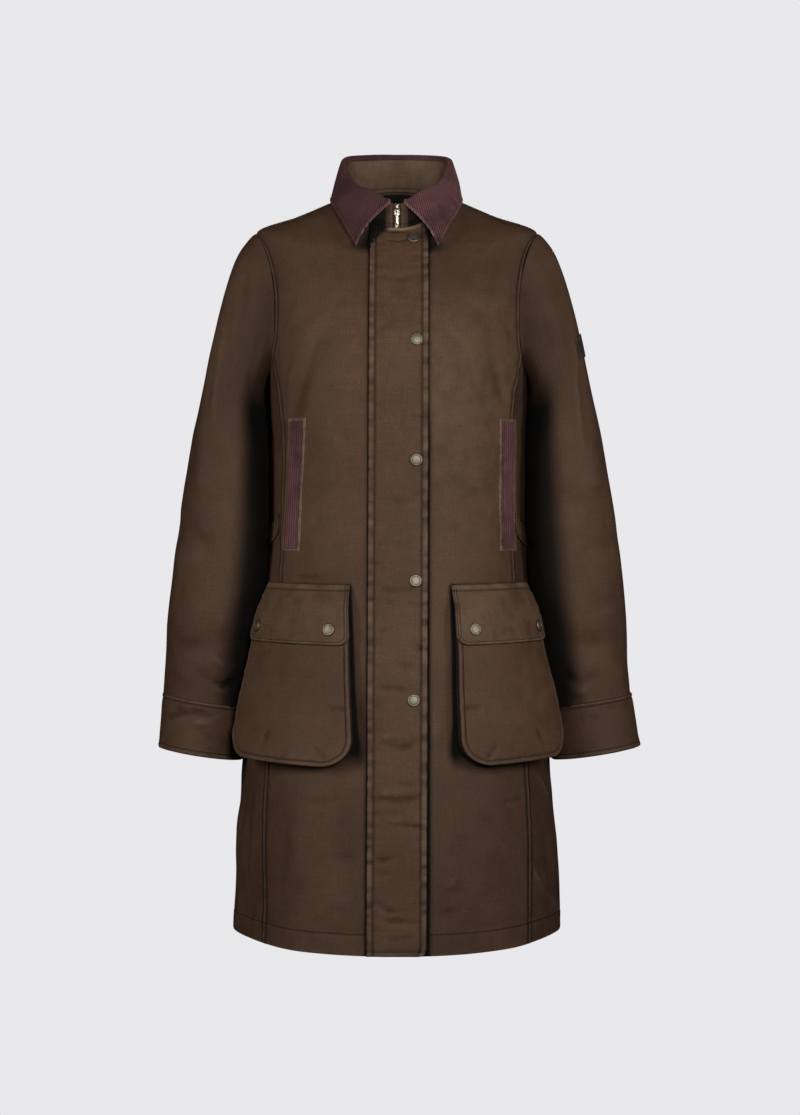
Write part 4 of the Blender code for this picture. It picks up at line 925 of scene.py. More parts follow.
def cloth_colour_with_painted_light_and_shade():
    """Colour of the cloth: a mottled ground, rubbed lighter on raised edges and darker in grooves, with
    painted light and painted shade laid on through the same two fields.
    """
    tree, graph, given = node_group(
        "cloth_colour_with_painted_light_and_shade", {"Place": "Vector", "Ground": "Color", "Deep": "Color", "Rubbed": "Color",
                         "WearAndLight": "Float", "Shade": "Float"},
        {"Color": "Color", "Roughness": "Float", "Grain": "Float"})
    broad = graph.noise(given["Place"], BROAD_SCALE)
    blotch = graph.noise(given["Place"], BLOTCH_SCALE, 4.0, 0.6)
    grain = graph.noise(given["Place"], GRAIN_SCALE, 2.0, 0.7)
    mottle = graph.math("ADD", graph.math("MULTIPLY", broad, 0.6), graph.math("MULTIPLY", blotch, 0.4))
    ground = graph.mix(graph.span(mottle, 0.34, 0.66), given["Deep"], given["Ground"])
    ground = graph.scaled(ground, graph.span(grain, 0.40, 0.72, 0.86, 1.18))
    rubbing_and_light = graph.math("MULTIPLY", given["WearAndLight"], graph.span(blotch, 0.30, 0.62, 0.25, 1.0), True)
    worn_and_lit = graph.mix(rubbing_and_light, ground, given["Rubbed"])
    light = graph.math("SUBTRACT", 1.0, graph.math("MULTIPLY", given["Shade"], 0.92, True))
    dull = graph.math("MULTIPLY", given["Shade"], 0.2)
    rough = graph.math("ADD", graph.span(blotch, 0.3, 0.7, 0.60, 0.72), dull)
    graph.add("NodeGroupOutput", {"Color": graph.scaled(worn_and_lit, light), "Roughness": rough, "Grain": grain})
    return tree


def new_material(name):
    made = bpy.data.materials.new(name)
    made.use_nodes = True
    return made, Graph(made.node_tree), made.node_tree.nodes["Principled BSDF"]


def colour_of(value):
    return (*value, 1.0)


def worn_colours(graph, place, ground, deep, rubbed):
    """The cloth's colour group with its colours, rubbed and lit with painted light, and darkened with painted
    shade, by the fields of the sheet.
    """
    return graph.group(cloth_colour_with_painted_light_and_shade, {
        "Place": place, "Ground": colour_of(ground), "Deep": colour_of(deep), "Rubbed": colour_of(rubbed),
        "WearAndLight": graph.field("wear_and_light"), "Shade": graph.field("shade")})


def cloth_material(name, ground, deep, rubbed, spacing, specular, bump):
    """Woven cloth: weave on the flat places; mottling, rubbed edges, painted light and painted shade on the
    piece.
    """
    made, graph, shader = new_material(name)
    cloth = worn_colours(graph, graph.place(), ground, deep, rubbed)
    flat = graph.add("ShaderNodeUVMap", uv_map="cloth").outputs[0]
    weave = graph.group(plain_weave, {"Place": flat, "Spacing": spacing})
    height = graph.math("ADD", weave["Height"], graph.math("MULTIPLY", cloth["Grain"], 1.5))
    streak = graph.span(weave["Streak"], 0.75, 1.25, 0.92, 1.08)
    graph.fill(shader, {"Base Color": graph.scaled(cloth["Color"], streak), "Roughness": cloth["Roughness"],
                        "Normal": graph.bump(height, bump, 0.0004), "Specular IOR Level": specular})
    return made


def corduroy_material(name, ridge, valley, rubbed, wale):
    """Corduroy: pile ridges along the first flat place, specked where the nap is rubbed."""
    made, graph, shader = new_material(name)
    place = graph.place()
    cloth = worn_colours(graph, place, ridge, valley, rubbed)
    flat = graph.add("ShaderNodeUVMap", uv_map="cloth").outputs[0]
    across = graph.add("ShaderNodeSeparateXYZ", {0: flat}).outputs[0]
    wave = graph.math("COSINE", graph.math("MULTIPLY", across, 2 * math.pi / wale))
    pile = graph.span(wave, -0.9, 0.9)
    nap = graph.noise(place, NAP_SCALE, 2.0, 0.8)
    tufts = graph.math("MULTIPLY", graph.span(nap, 0.56, 0.70), pile)
    between = graph.math("SUBTRACT", 0.75, graph.math("MULTIPLY", pile, 0.75))
    colour = graph.mix(between, cloth["Color"], colour_of(valley))
    colour = graph.mix(graph.math("MULTIPLY", tufts, 0.42), colour, colour_of(rubbed))
    height = graph.math("ADD", graph.math("MULTIPLY", pile, 1.6), nap)
    graph.fill(shader, {"Base Color": colour, "Roughness": 0.86, "Normal": graph.bump(height, 0.5, 0.0005),
                        "Specular IOR Level": 0.2, "Sheen Weight": 0.12, "Sheen Roughness": 0.5,
                        "Sheen Tint": SHEEN_TINT})
    return made


def metal_material(name, bright, tarnish, rough):
    """Turned metal, tarnished unevenly and in its grooves, with a painted shadow along a snap cap's rim where
    the shade field is set.
    """
    made, graph, shader = new_material(name)
    place = graph.place()
    stain = graph.span(graph.noise(place, STAIN_SCALE, 3.0, 0.6), 0.40, 0.66)
    scuff = graph.noise(place, SCUFF_SCALE, 2.0, 0.6)
    share = graph.math("ADD", graph.math("MULTIPLY", stain, 0.28), graph.field("shade"), True)
    graph.fill(shader, {"Base Color": graph.mix(share, colour_of(bright), colour_of(tarnish)),
                        "Roughness": graph.math("ADD", rough, graph.math("MULTIPLY", scuff, 0.16)),
                        "Normal": graph.bump(scuff, 0.12, 0.0002), "Metallic": 1.0})
    return made


def finish(name):
    """The named finish, made once from the colours of the panel."""
    label = "finish_" + name
    colours, sizes = bpy.context.scene.jacket_colours, bpy.context.scene.jacket_sizes
    if label in bpy.data.materials:
        return bpy.data.materials[label]
    if name in CLOTHS:
        *grounds, specular, bump = CLOTHS[name]
        grounds = [getattr(colours, ground) for ground in grounds]
        return cloth_material(label, *grounds, sizes.thread_spacing, specular, bump)
    if name == "corduroy":
        return corduroy_material(label, colours.corduroy, colours.corduroy_deep, colours.corduroy_rubbed,
                                 sizes.wale)
    bright, rough = METALS[name]
    return metal_material(label, getattr(colours, bright), colours.tarnish, rough)


def arm_turn(rise):
    """Sleeve turn at which the armhole has a given rise."""
    return math.acos(signed_power((rise - ARM_MIDDLE) / ARM_HALF, ARM_SQUARE / 2))


# Turn of the sleeves' back seam, and rows of the fine cloth from the hem to the neck and down the sleeve
SLEEVE_SEAM = arm_turn(SLEEVE_SEAM_RISE)
ARM_TURNS = np.linspace(arm_turn(SEAM_TOP), 0, 46)
ARM_RISES = ARM_MIDDLE + ARM_HALF * signed_power(np.cos(ARM_TURNS), 2 / ARM_SQUARE)
NECK_ROWS = np.linspace(ARM_TOP, NECK_RISE, 20)
SIDE_ROWS = np.concatenate([HEM_MARKS, np.linspace(0.033, SEAM_TOP, 149)])
BODY_ROWS = np.concatenate([SIDE_ROWS, ARM_RISES[1:], NECK_ROWS[1:]])
SLEEVE_ROWS = np.concatenate([EDGE_MARKS, np.linspace(0.0195, SLEEVE_LENGTH - 0.0195, 104),
                              SLEEVE_LENGTH - np.array(EDGE_MARKS[::-1])])
POCKET_MIDDLE = math.radians(POCKET_TURN)
PLAIN = np.zeros(3)

# Areas of the fronts: the chest with painted light, its middle and reach, then the spans in which painted
# shade comes on
CHEST_RISE, CHEST_REACH = 0.64, 0.13
SHOULDER_SPAN, SKIRT_SPAN = (0.76, 0.83), (0.10, 0.40)
UNDER_COLLAR_SPAN, UNDER_COLLAR_TURNS = (0.862, 0.884), (0.26, 0.46)


def lay(name, form, turn, length, out=0.0, relief=PLAIN, thickness=CLOTH, slot="waxed_cotton",
        radius=FOLD_RADIUS, side=LEFT, flat=None, **options):
    """A sheet cut from a draped form, at a distance out of it, with relief, rubbed edges, painted light and
    painted shade on its face.
    """
    turn, length = np.broadcast_arrays(turn, length)
    base, normal, lift, crease = form(turn, length)
    high, wear_and_light, shade = np.stack([np.broadcast_to(values, turn.shape) for values in relief]) + creased(crease)
    smooth_face, outer, inner = (
        mirrored(base + normal * np.broadcast_to(stand, turn.shape)[..., None], side)
        for stand in (out, lift + out + high, lift + out - thickness))
    flat = np.stack([turn * radius, length], axis=-1) if flat is None else flat
    sew(name, outer, inner, flat, slot, wear_and_light, shade, smooth_face, **options)


def hemmed(rise):
    """The turned-up hem: a raised band, and a groove along its row of stitches."""
    groove = bell(rise - HEM_STITCH, 0.0009)
    relief = 0.0004 * (1 - ramp(rise, HEM_STITCH - 0.0006, HEM_STITCH + 0.0010))
    relief = relief - 0.0006 * groove - 0.0005 * bell(rise, 0.0010)
    wear_and_light = 0.25 * bell(rise - 0.0012, 0.0012) + RIM_WEAR * bell(rise - HEM_STITCH - 0.0016, 0.0010)
    return np.stack([relief, wear_and_light, 0.80 * groove])


def hem_pucker(rise, around, seed):
    return pucker(np.abs(rise - HEM_STITCH), around, seed + HEM_SEED, *HEM_PUCKER)


def body_relief(turn, rise, edges, seed):
    """Relief of a body panel: felled edges and hem, with the puckers of their stitching."""
    relief = hemmed(rise) + sum(felled(edge, *BODY_FELL) for edge in edges)
    relief[0] += sum(pucker(edge, rise, seed + number) for number, edge in enumerate(edges))
    relief[0] *= 1 - 0.9 * ramp(rise, SEAM_TOP, SEAM_TOP + 0.04)
    relief[0] += hem_pucker(rise, turn * FOLD_RADIUS, seed)
    return relief


def front(side):
    rise = BODY_ROWS[:, None]
    flap = turn_at(np.abs(smooth(FLAP_EDGES, BODY_ROWS)[:, 1 if side == LEFT else 0]), BODY_ROWS)
    bag, _, _ = pocket_place(side, 0.0, body_form(POCKET_MIDDLE, BODY_ROWS)[:, 2])
    turn, _, outer = across_rows(body_form, turn_at(CENTRE_HALF, BODY_ROWS), panel_edge(BODY_ROWS), BODY_ROWS,
                                 lines=(flap, bag))
    relief = body_relief(turn, rise, [outer], FRONT_SEED + side)
    # Painted light on the chest; painted shadow under the collar; painted shade on the shoulder and skirt;
    # painted shadows beside the storm flap and the pocket
    relief[1] += CHEST_PAINTED_LIGHT[side] * bell(rise - CHEST_RISE, CHEST_REACH)
    relief[2] += ramp(rise, *UNDER_COLLAR_SPAN) * (1 - ramp(turn, *UNDER_COLLAR_TURNS))
    relief[2] += SHOULDER_SHADE[side] * ramp(rise, *SHOULDER_SPAN)
    relief[2] += SKIRT_SHADE[side] * (1 - ramp(rise, *SKIRT_SPAN)) + front_shadow(side, turn, rise, flap, bag)
    lay(named("front", side), drape, turn * side, rise, relief=relief, flip=side == RIGHT,
        rests_on=["storm_flap"])


def front_shadow(side, turn, rise, flap, bag):
    """Shade on a front beside the storm flap and close to the pocket that stands on it."""
    z = body_form(turn, rise)[..., 2]
    at_pocket = ramp(z, BAG_BOTTOM - 0.012, BAG_BOTTOM + 0.020)
    at_pocket = at_pocket * (1 - ramp(z, POCKET_FLAP_TOP - 0.004, POCKET_FLAP_TOP + 0.002))
    from_bag, from_flap = ((line[:, None] - turn) * way * FOLD_RADIUS for line, way in ((bag, 1), (flap, -1)))
    low = bell(z - BAG_BOTTOM - 0.016, 0.024)
    near = 1.1 * at_pocket * (1 - ramp(from_bag, 0.0016, 0.0044 + 0.007 * low))
    loose = ramp(-z, 0.25, 0.31) if side == LEFT else 0.0
    beside = (1.0 + 0.4 * loose) * bell(np.clip(from_flap, 0, None), 0.0017 + 0.0011 * loose)
    return near + beside


def side_rise(rows, shares):
    """Rises on a side panel whose rows dip to the armhole in the middle."""
    top_front, top_back = (side_seam(np.array(SEAM_TOP), back) for back in (False, True))
    from_side = top_front * (1 - shares) + top_back * shares - math.pi / 2
    reach = np.where(from_side < 0, ARM_FRONT, ARM_BACK)
    along = np.clip(np.abs(from_side) / reach, 0, 1)
    dip = ARM_HALF * (1 - along ** ARM_SQUARE) ** (1 / ARM_SQUARE)
    return rows[:, None] * (ARM_MIDDLE - dip) / SEAM_TOP


def side_edges(rows):
    """Turns of the two edges of the left side panel, which meet those of the front and the back."""
    front_edge, back_edge = side_seam(rows), side_seam(rows, True)
    return front_edge - gap_turn(front_edge, rows), back_edge + gap_turn(back_edge, rows)


def side_panel(side):
    start, end = side_edges(SIDE_ROWS)
    turn, first, last = across_rows(body_form, start, end, SIDE_ROWS)
    rise = side_rise(SIDE_ROWS, (turn - start[:, None]) / (end - start)[:, None])
    relief = hemmed(SIDE_ROWS[:, None]) + np.zeros((3, *turn.shape))
    relief[0] += pucker(first, rise, FRONT_SEED + side) + pucker(last, rise, BACK_SEED + (side == RIGHT))
    behind = turn if side == LEFT else 2 * math.pi - turn
    share = ramp(first / (first + last), 0.2, 0.8)
    for seed, at, part in ((FRONT_SEED + side, turn, 1 - share), (BACK_SEED, behind, share)):
        relief[0] += part * hem_pucker(rise, at * FOLD_RADIUS, seed)
    relief[2] += bell(first, 0.0016) + bell(last, 0.0016)
    relief[2] += SIDE_SHADE[side] * (1 - ramp(turn, math.radians(95), math.radians(115)))
    lay(named("side", side), drape, turn * side, rise, relief=relief, flip=side == RIGHT)


def back():
    rise = BODY_ROWS[:, None]
    edge = panel_edge(BODY_ROWS, back=True)
    turn, first, last = across_rows(body_form, edge, 2 * math.pi - edge, BODY_ROWS)
    lay("back", drape, turn, rise, relief=body_relief(turn, rise, [first, last], BACK_SEED))


def sleeve(side):
    """The top piece over the arm, felled onto the under piece."""
    length = SLEEVE_ROWS[:, None]
    dark_from = ARM_DARK_FROM[side]
    seams = np.array([-SLEEVE_SEAM, SLEEVE_SEAM, 2 * math.pi - SLEEVE_SEAM])
    for piece, start, end in zip(("sleeve_top", "sleeve_under"), seams, seams[1:]):
        turn, _, last = across_rows(sleeve_form, np.full(len(length), start), np.full(len(length), end),
                                    SLEEVE_ROWS)
        relief = felled(last) if piece == "sleeve_top" else np.zeros((3, *turn.shape))
        inward = np.degrees(np.minimum(np.abs(turn), 2 * math.pi - np.abs(turn)))
        around = sleeve_around(turn)
        inner_dark = ramp(inward, dark_from, dark_from + ARM_DARK_SPAN) * ramp(length, 0.08, 0.17)
        relief[2] += ARM_SHADE + INNER_ARM_SHADE * inner_dark
        relief[2] += UNDERARM_SHADE * ramp(inward, 50, 95) * (1 - ramp(length, 0.10, 0.20))
        relief[0] += HEAD_ROLL * bell(length, 0.012) * (1 - ramp(inward, 40, 90))
        relief[0] += pucker(length, around, CAP_SEED + side, *CAP_PUCKER)
        relief[0] += pucker(SLEEVE_LENGTH - length, around, WRIST_SEED + side, *WRIST_PUCKER)
        lay(named(piece, side), sleeve_drape(side), turn, length, relief=relief, side=side,
            flat=np.stack(np.broadcast_arrays(around, length), axis=-1), flip=side == LEFT)


def cuff(side):
    top, mouth = CUFFS[side]
    height = mouth[0] - top[0]

    def form(turn, drop):
        return cuff_form(side, turn, drop)

    def drape_of(turn, drop):
        around = turn * SLEEVE_RADIUS
        crease, colouring = crease_height(CUFF_CREASES[side], SLEEVE_DEGREE, around, drop)
        lift = crease + soft_waves(around, drop, CUFF_SEED + side) * np.cos(turn / 2) ** 2
        return form(turn, drop), -normals_of(form, turn, drop), lift, colouring

    turn = np.linspace(-math.pi, math.pi, CUFF_COLUMNS, endpoint=False)[None, :]
    drop = marks(height + CUFF_LAP, CUFF_STEP)[0][:, None] - CUFF_LAP
    relief = felled(drop + CUFF_LAP, *CUFF_HEAD) + felled(height - drop, *CUFF_MOUTH)
    relief = relief + np.zeros((3, *np.broadcast(turn, drop).shape))
    relief[0] -= 0.0006 * bell(drop, 0.006)
    relief[0] += pucker(height - drop, turn * SLEEVE_RADIUS, MOUTH_SEED + side, *HEM_PUCKER)
    relief[2] += CUFF_SHADE[side]
    lay(named("cuff", side), drape_of, turn, drop, relief=relief, radius=SLEEVE_RADIUS, side=side,
        flip=side == LEFT, wrap=True)


def collar_lines(turns):
    """The fold and the outer edge of the collar at turns in degrees, and the way out from the neck."""
    values = smooth(COLLAR, np.where(turns > 180, 360 - turns, turns))
    side = np.where(turns > 180, -1.0, 1.0)[:, None] * np.array([1.0, 0.0, 0.0]) + np.array([0.0, 1.0, 1.0])
    fold, edge = values[:, :3] * side, values[:, 3:] * side
    outward = unit(fold * np.array([1.0, 1.0, 0.0]))
    fold[:, 2] += COLLAR_BOW * np.clip(-np.cos(np.radians(turns)), 0, 1)
    return fold, edge, outward


def collar_stand():
    turns = np.linspace(STAND_TURN, 360 - STAND_TURN, STAND_COLUMNS)
    fold, _, _ = collar_lines(turns)
    foot = body_form(np.radians(turns), NECK_RISE) + np.array([0.0, 0.0, SEAM_GAP])
    shares = np.linspace(0, 1, STAND_LEVELS)[:, None, None]
    base = np.concatenate([[foot - np.array([0.0, 0.0, STAND_TUCK])], foot * (1 - shares) + fold * shares])
    normals = grid_normals(base)
    around, up = run_along(base, 1), run_along(base, 0) - STAND_TUCK
    relief = felled(up, *STAND_FOOT) + felled(around[:, -1:] - around) + felled(around)
    from_zip = np.minimum(around, around[:, -1:] - around)
    relief[1] *= ramp(from_zip, 0.020, 0.050)
    # Painted light on the stand away from the zip, towards the back of the neck, and painted shadow on its
    # front under the ends of the fall
    relief[1] += 0.30 * ramp(from_zip, 0.030, 0.060)
    relief[2] += ramp(from_zip, 0.006, 0.012) * (1 - ramp(from_zip, 0.045, 0.070))
    lift = (relief[0] + 0.5 * soft_waves(around, up, STAND_SEED)) * ramp(up, 0, 0.004)
    sew("collar_stand", base + normals * lift[..., None], base - normals * CORDUROY,
        np.stack([around, up], axis=-1), wear_and_light=relief[1], shade=relief[2], base=base)


def collar_fall():
    """Corduroy that rolls over the top of the stand and lies down outside it, its ribs along the fall."""
    sizes = bpy.context.scene.jacket_sizes
    turns = np.linspace(FALL_TURN, 360 - FALL_TURN, FALL_COLUMNS)
    fold, edge, outward = collar_lines(turns)
    high = np.array([0.0, 0.0, 1.0])
    roll = [(number, *row) for number, row in enumerate(ROLL + ROLL_INSIDE)]
    roll_rows = smooth(roll, np.linspace(0, len(roll) - 1, ROLL_LEVELS))
    rolled = [fold + outward * out + high * up for out, up in roll_rows]
    shares = marks(1.0, 0.045, np.array(EDGE_MARKS) / 0.055)[0]
    shares = shares[shares < 0.9]
    far = run_along(edge[None], 1)[0]
    hollow = (bell(far, 0.014) - bell(far[-1] - far, 0.014))[:, None] * np.array([COLLAR_HOLLOW, 0.0, 0.0])
    bulge = outward * FALL_BULGE + hollow
    rows = [edge * (1 - share) + rolled[0] * share + bulge * math.sin(math.pi * share) for share in shares]
    base = np.stack(rows + rolled)
    normals = grid_normals(base)
    around, up = run_along(base, 1), run_along(base, 0)
    to_end = around[:, -1:] - around
    ribs = np.mod(np.arctan2(base[..., 0], -base[..., 1]), 2 * math.pi) * sizes.rib_radius
    relief = sum(felled(from_edge, *FALL_EDGE) for from_edge in (up, around, to_end))
    leading = bell(around, 0.0011) + bell(to_end, 0.0011)
    ahead = 1 - ramp(base[..., 1], -0.02, 0.03)
    # Leading edges rubbed pale; the front of the fall is lighter on the wearer's left with rubbed nap and
    # painted light, and darker on the wearer's right with painted shade
    relief[1] += 0.9 * leading + 0.22 * ahead * ramp(base[..., 0], 0.0, 0.02)
    relief[2] = relief[2] * (1 - np.clip(leading, 0, 1)) + 0.50 * ahead * ramp(-base[..., 0], 0.0, 0.02)
    lift = relief[0] + sizes.wale_height * np.cos(2 * math.pi * ribs / sizes.wale)
    lift = lift + 0.8 * soft_waves(around, up, FALL_SEED)
    teeth = sizes.tooth_height * (np.cos(2 * math.pi * up / sizes.tooth_width) - 1)
    teeth = teeth * (bell(around, 0.0025) + bell(to_end, 0.0025))
    side = np.where(np.arange(len(turns)) < len(turns) / 2, 1.0, -1.0)[None, :]
    outer = base + normals * lift[..., None] - unit(np.gradient(base, axis=1)) * (teeth * side)[..., None]
    sew("collar_fall", outer, base - normals * CORDUROY, np.stack([ribs, up], axis=-1), "corduroy",
        relief[1], 0.6 * relief[2], base, held="folded", rests_on=["collar_stand"])


def neck_lining():
    edge = panel_edge(NECK_ROWS, back=True)
    shares = np.linspace(0.25, 0.75, 60)
    turn = edge[:, None] * (1 - shares) + (2 * math.pi - edge)[:, None] * shares
    lay("neck_lining", drape, turn, NECK_ROWS[:, None], -CLOTH - LAID_GAP, thickness=THIN_CLOTH,
        slot="dark_lining", held="laid", rests_on=["back"])


def corner_inset(above, radius):
    """How far a rounded corner cuts in at a height above the bottom edge."""
    left = np.clip(radius - above, 0, radius)
    return radius - np.sqrt(radius ** 2 - left ** 2)


def storm_flap():
    """The strip over the zip: stitched edges, puckers across, and a rounded free corner."""
    rise = np.concatenate([HEM_MARKS, np.linspace(0.031, FLAP_TOP, 380)])
    edges = smooth(FLAP_EDGES, rise)
    left, right = edges[:, 0], edges[:, 1] - corner_inset(rise, FLAP_CORNER)
    far = marks(right - left, FLAP_STEP)
    length = rise[:, None]
    turn = turn_at(left[:, None] + far, length)
    from_right = (right - left)[:, None] - far
    below = FLAP_TOP - length
    relief = sum(felled(edge, *FLAP_FELL) for edge in (far, from_right))
    relief = relief + felled(below, *FLAP_HEAD) + felled(length, *FLAP_FOOT)
    crease, colouring = crease_height(FLAP_CREASES, BODY_DEGREE, turn * FOLD_RADIUS, length)
    relief = relief + creased(FLAP_CREASING * colouring)
    relief[0] += FLAP_CREASING * crease
    # Painted highlight on the fold along the flap's top; painted shadow under the collar's ends at the top
    # corners and in the fold below the top; painted light and shade on the drawn puckers of the stitched
    # bands
    relief[1] += 0.8 * bell(below - 0.006, 0.005)
    relief[2] += 1.1 * (1 - ramp(below + 2.5 * far, 0.050, 0.074))
    relief[2] += (1 - ramp(below, 0.030, 0.050)) * (1 - ramp(from_right, 0.003, 0.008))
    relief[2] += 0.9 * bell(below - 0.017, 0.0035) * bell(far - 0.031, 0.012)
    for seed, edge in zip(FLAP_SEEDS, (far, from_right)):
        drawn = ripple(length, 0.2 * edge, 0.0048, seed + DRAWN_SEED) * (1 - ramp(edge, 0.0066, 0.0082))
        relief[1] += 0.26 * np.clip(drawn, 0, 1)
        relief[2] += 0.55 * np.clip(-drawn, 0, 1)
        relief[0] += pucker(np.abs(edge - 0.008), length, seed, *FLAP_PUCKER)
    lay("storm_flap", drape, turn, length, LAID_GAP + CLOTH, relief=relief, rests_on=["front_right"])


def zip_face():
    """Centre line of the zip up the slit between the fronts and the collar stand, and its normals."""
    rise = np.linspace(ZIP_BOTTOM, NECK_RISE, 300)
    body = on_body(np.zeros_like(rise), rise, ZIP_SINK)
    fold, _, _ = collar_lines(np.array([STAND_TURN]))
    top = np.array([0.0, fold[0, 1], fold[0, 2]])
    shares = np.linspace(0, 1, 14)[1:, None]
    line = np.concatenate([body, body[-1] * (1 - shares) + top * shares])
    normals = unit(np.cross(np.array([1.0, 0.0, 0.0]), np.gradient(line, axis=0)))
    return line, normals


def zip_tape():
    line, normals = zip_face()
    x = np.linspace(-ZIP_HALF, ZIP_HALF, 7)
    outer = line[:, None, :] + x[None, :, None] * np.array([1.0, 0.0, 0.0])
    up = run_along(line[:, None, :], 0)
    sew("zip", outer, outer - normals[:, None, :] * ZIP_CLOTH,
        np.stack(np.broadcast_arrays(x[None, :], up), axis=-1), "zip_tape", declared=False)


def welt_share(z):
    return (z - WELT_BOTTOM) / (WELT_TOP - WELT_BOTTOM)


def welt_places(side, across, z):
    """Turn and rise on a welt, at distances across from its inner edge."""
    top_inner, _, low_inner, _ = WELTS[side]
    rise = rise_at(z, POCKET_MIDDLE)
    return turn_at(low_inner + (top_inner - low_inner) * welt_share(z) + across, rise) * side, rise


def welt(side):
    sizes = bpy.context.scene.jacket_sizes
    top_inner, top_outer, low_inner, low_outer = WELTS[side]
    z = WELT_BOTTOM + marks(WELT_TOP - WELT_BOTTOM, WELT_STEP)[0]
    share = welt_share(z)
    width = (low_outer - low_inner) * (1 - share) + (top_outer - top_inner) * share
    across = width[:, None] * np.linspace(0, 1, 56)
    turn, rise = welt_places(side, across, np.repeat(z[:, None], across.shape[1], axis=1))
    wave = np.cos(2 * math.pi * across / sizes.wale)
    edge = np.minimum(across, width[:, None] - across)
    relief = np.stack([sizes.wale_height * wave - 0.0006 * bell(edge, 0.0010),
                       0.15 + 0.4 * bell(edge, 0.0012), 0.4 * bell(edge, 0.0006)])
    lay(named("welt", side), drape, turn, rise, LAID_GAP + THIN_CLOTH, relief, THIN_CLOTH, "corduroy",
        flat=np.stack([across, rise], axis=-1), flip=side == RIGHT, held="laid",
        rests_on=[named("front", side)])


# How much the bottom, outer edge, top and inner edge of a welt's frame are rubbed, and its thickness
FRAME_WEAR, FRAME_CLOTH = (0.7, 0.25, 0.85, 1.0), 0.0004


def welt_frame(side):
    """The rubbed cloth edge that frames a welt."""
    top_inner, top_outer, low_inner, low_outer = WELTS[side]
    reach = np.linspace(0.0004, bpy.context.scene.jacket_sizes.welt_frame, FRAME_LEVELS)[:, None]
    along, across = np.linspace(0, 1, 60)[None, :-1], np.linspace(0, 1, 9)[None, :-1]
    low, high = WELT_BOTTOM - reach, WELT_TOP + reach
    start, end = -reach, (low_outer - low_inner + top_outer - top_inner) / 2 + reach
    corners = ((start, low), (end, low), (end, high), (start, high), (start, low))
    parts = [[a + (b - a) * (across if number % 2 == 0 else along) for a, b in zip(corners[number], corner)]
             for number, corner in enumerate(corners[1:])]
    x, z = (np.concatenate(values, axis=1) for values in zip(*parts))
    turn, rise = welt_places(side, x, z)
    share = np.concatenate([np.full(part[0].shape[1], kept) for part, kept in zip(parts, FRAME_WEAR)])
    wear_and_light = share * (0.75 + 0.45 * ripple(x, z, 0.0022, FRAME_SEED + side))
    rough = 0.00025 * ripple(x, z, 0.0025, ROUGH_SEED + side)
    rough = rough + 0.0005 * np.sin(math.pi * np.linspace(0, 1, FRAME_LEVELS))[:, None]
    relief = np.stack([rough, wear_and_light, 0 * wear_and_light])
    lay(named("welt_frame", side), drape, turn, rise, LAID_GAP, relief, FRAME_CLOTH, stands_for_node=False,
        wrap=True, flip=side == LEFT, declared=False)


def waist_strap(side):
    rows = rise_at(STRAP_BOTTOM + marks(STRAP_TOP - STRAP_BOTTOM, STRAP_STEP)[0], POCKET_MIDDLE)
    start, end = side_edges(rows)
    first, last = (start + (end - start) * share for share in STRAP_ENDS)
    turn, near, far = across_rows(body_form, first, last, rows)
    rise = side_rise(rows, (turn - start[:, None]) / (end - start)[:, None])
    up = (rows - rows[0])[:, None]
    relief = felled(up, *STRAP_EDGE) + felled(up[-1] - up, *STRAP_EDGE)
    relief = relief + felled(near, *STRAP_TIP) + felled(far, *STRAP_TIP)
    lay(named("waist_strap", side), drape, turn * side, rise, LAID_GAP + THIN_CLOTH, relief, THIN_CLOTH,
        flip=side == RIGHT, held="laid", rests_on=[named("side", side)])


def pocket_place(side, share, z, inset=0.0):
    """Turn, rise and way across on a pocket, at a share of its width between its inset edges and a height."""
    x_top, x_bottom, outer = POCKETS[side]
    rise = rise_at(z, POCKET_MIDDLE)
    down = (z - POCKET_FLAP_TOP) / (BAG_BOTTOM - POCKET_FLAP_TOP)
    inner_turn = turn_at(x_top + (x_bottom - x_top) * down, rise)
    width = math.radians(outer) - inner_turn
    cut = inset / FOLD_RADIUS / width
    across = cut + (1 - 2 * cut) * share
    return inner_turn + width * across, rise, across


def bag_stand(across, z):
    """How far the pocket bag's inner face stands off the front."""
    down = (BAG_TOP - z) / (BAG_TOP - BAG_BOTTOM)
    foot = BAG_STAND_INNER + (BAG_STAND_OUTER - BAG_STAND_INNER) * across
    return BAG_STAND_TOP + (foot - BAG_STAND_TOP) * np.clip(down, 0, 1) ** BAG_BEND


def bag_face(across, z):
    """How far the pocket bag's outer face stands off the front."""
    return bag_stand(across, z) + CLOTH


def flap_face(across, z):
    """How far the pocket flap's outer face stands off the front."""
    down = np.clip((POCKET_FLAP_TOP - z) / (POCKET_FLAP_TOP - BAG_TOP), 0, 1)
    base = LAID_GAP + CLOTH
    return base + (bag_face(across, z) + POCKET_FLAP_COVER - base) * down ** POCKET_FLAP_BEND


def pocket_width(side, z):
    """Width of a pocket at a height, along the cloth."""
    turn, rise, _ = pocket_place(side, np.linspace(0, 1, 40), np.full(40, z))
    return run_along(body_form(turn, rise)[None], 1)[0, -1]


def round_edge(across, width, above, radius):
    """Distance to the nearest side or the bottom of a shape with two rounded lower corners."""
    side = np.minimum(across, width - across)
    corner = radius - np.hypot(radius - side, radius - above)
    return np.where((side < radius) & (above < radius), corner, np.minimum(side, above))


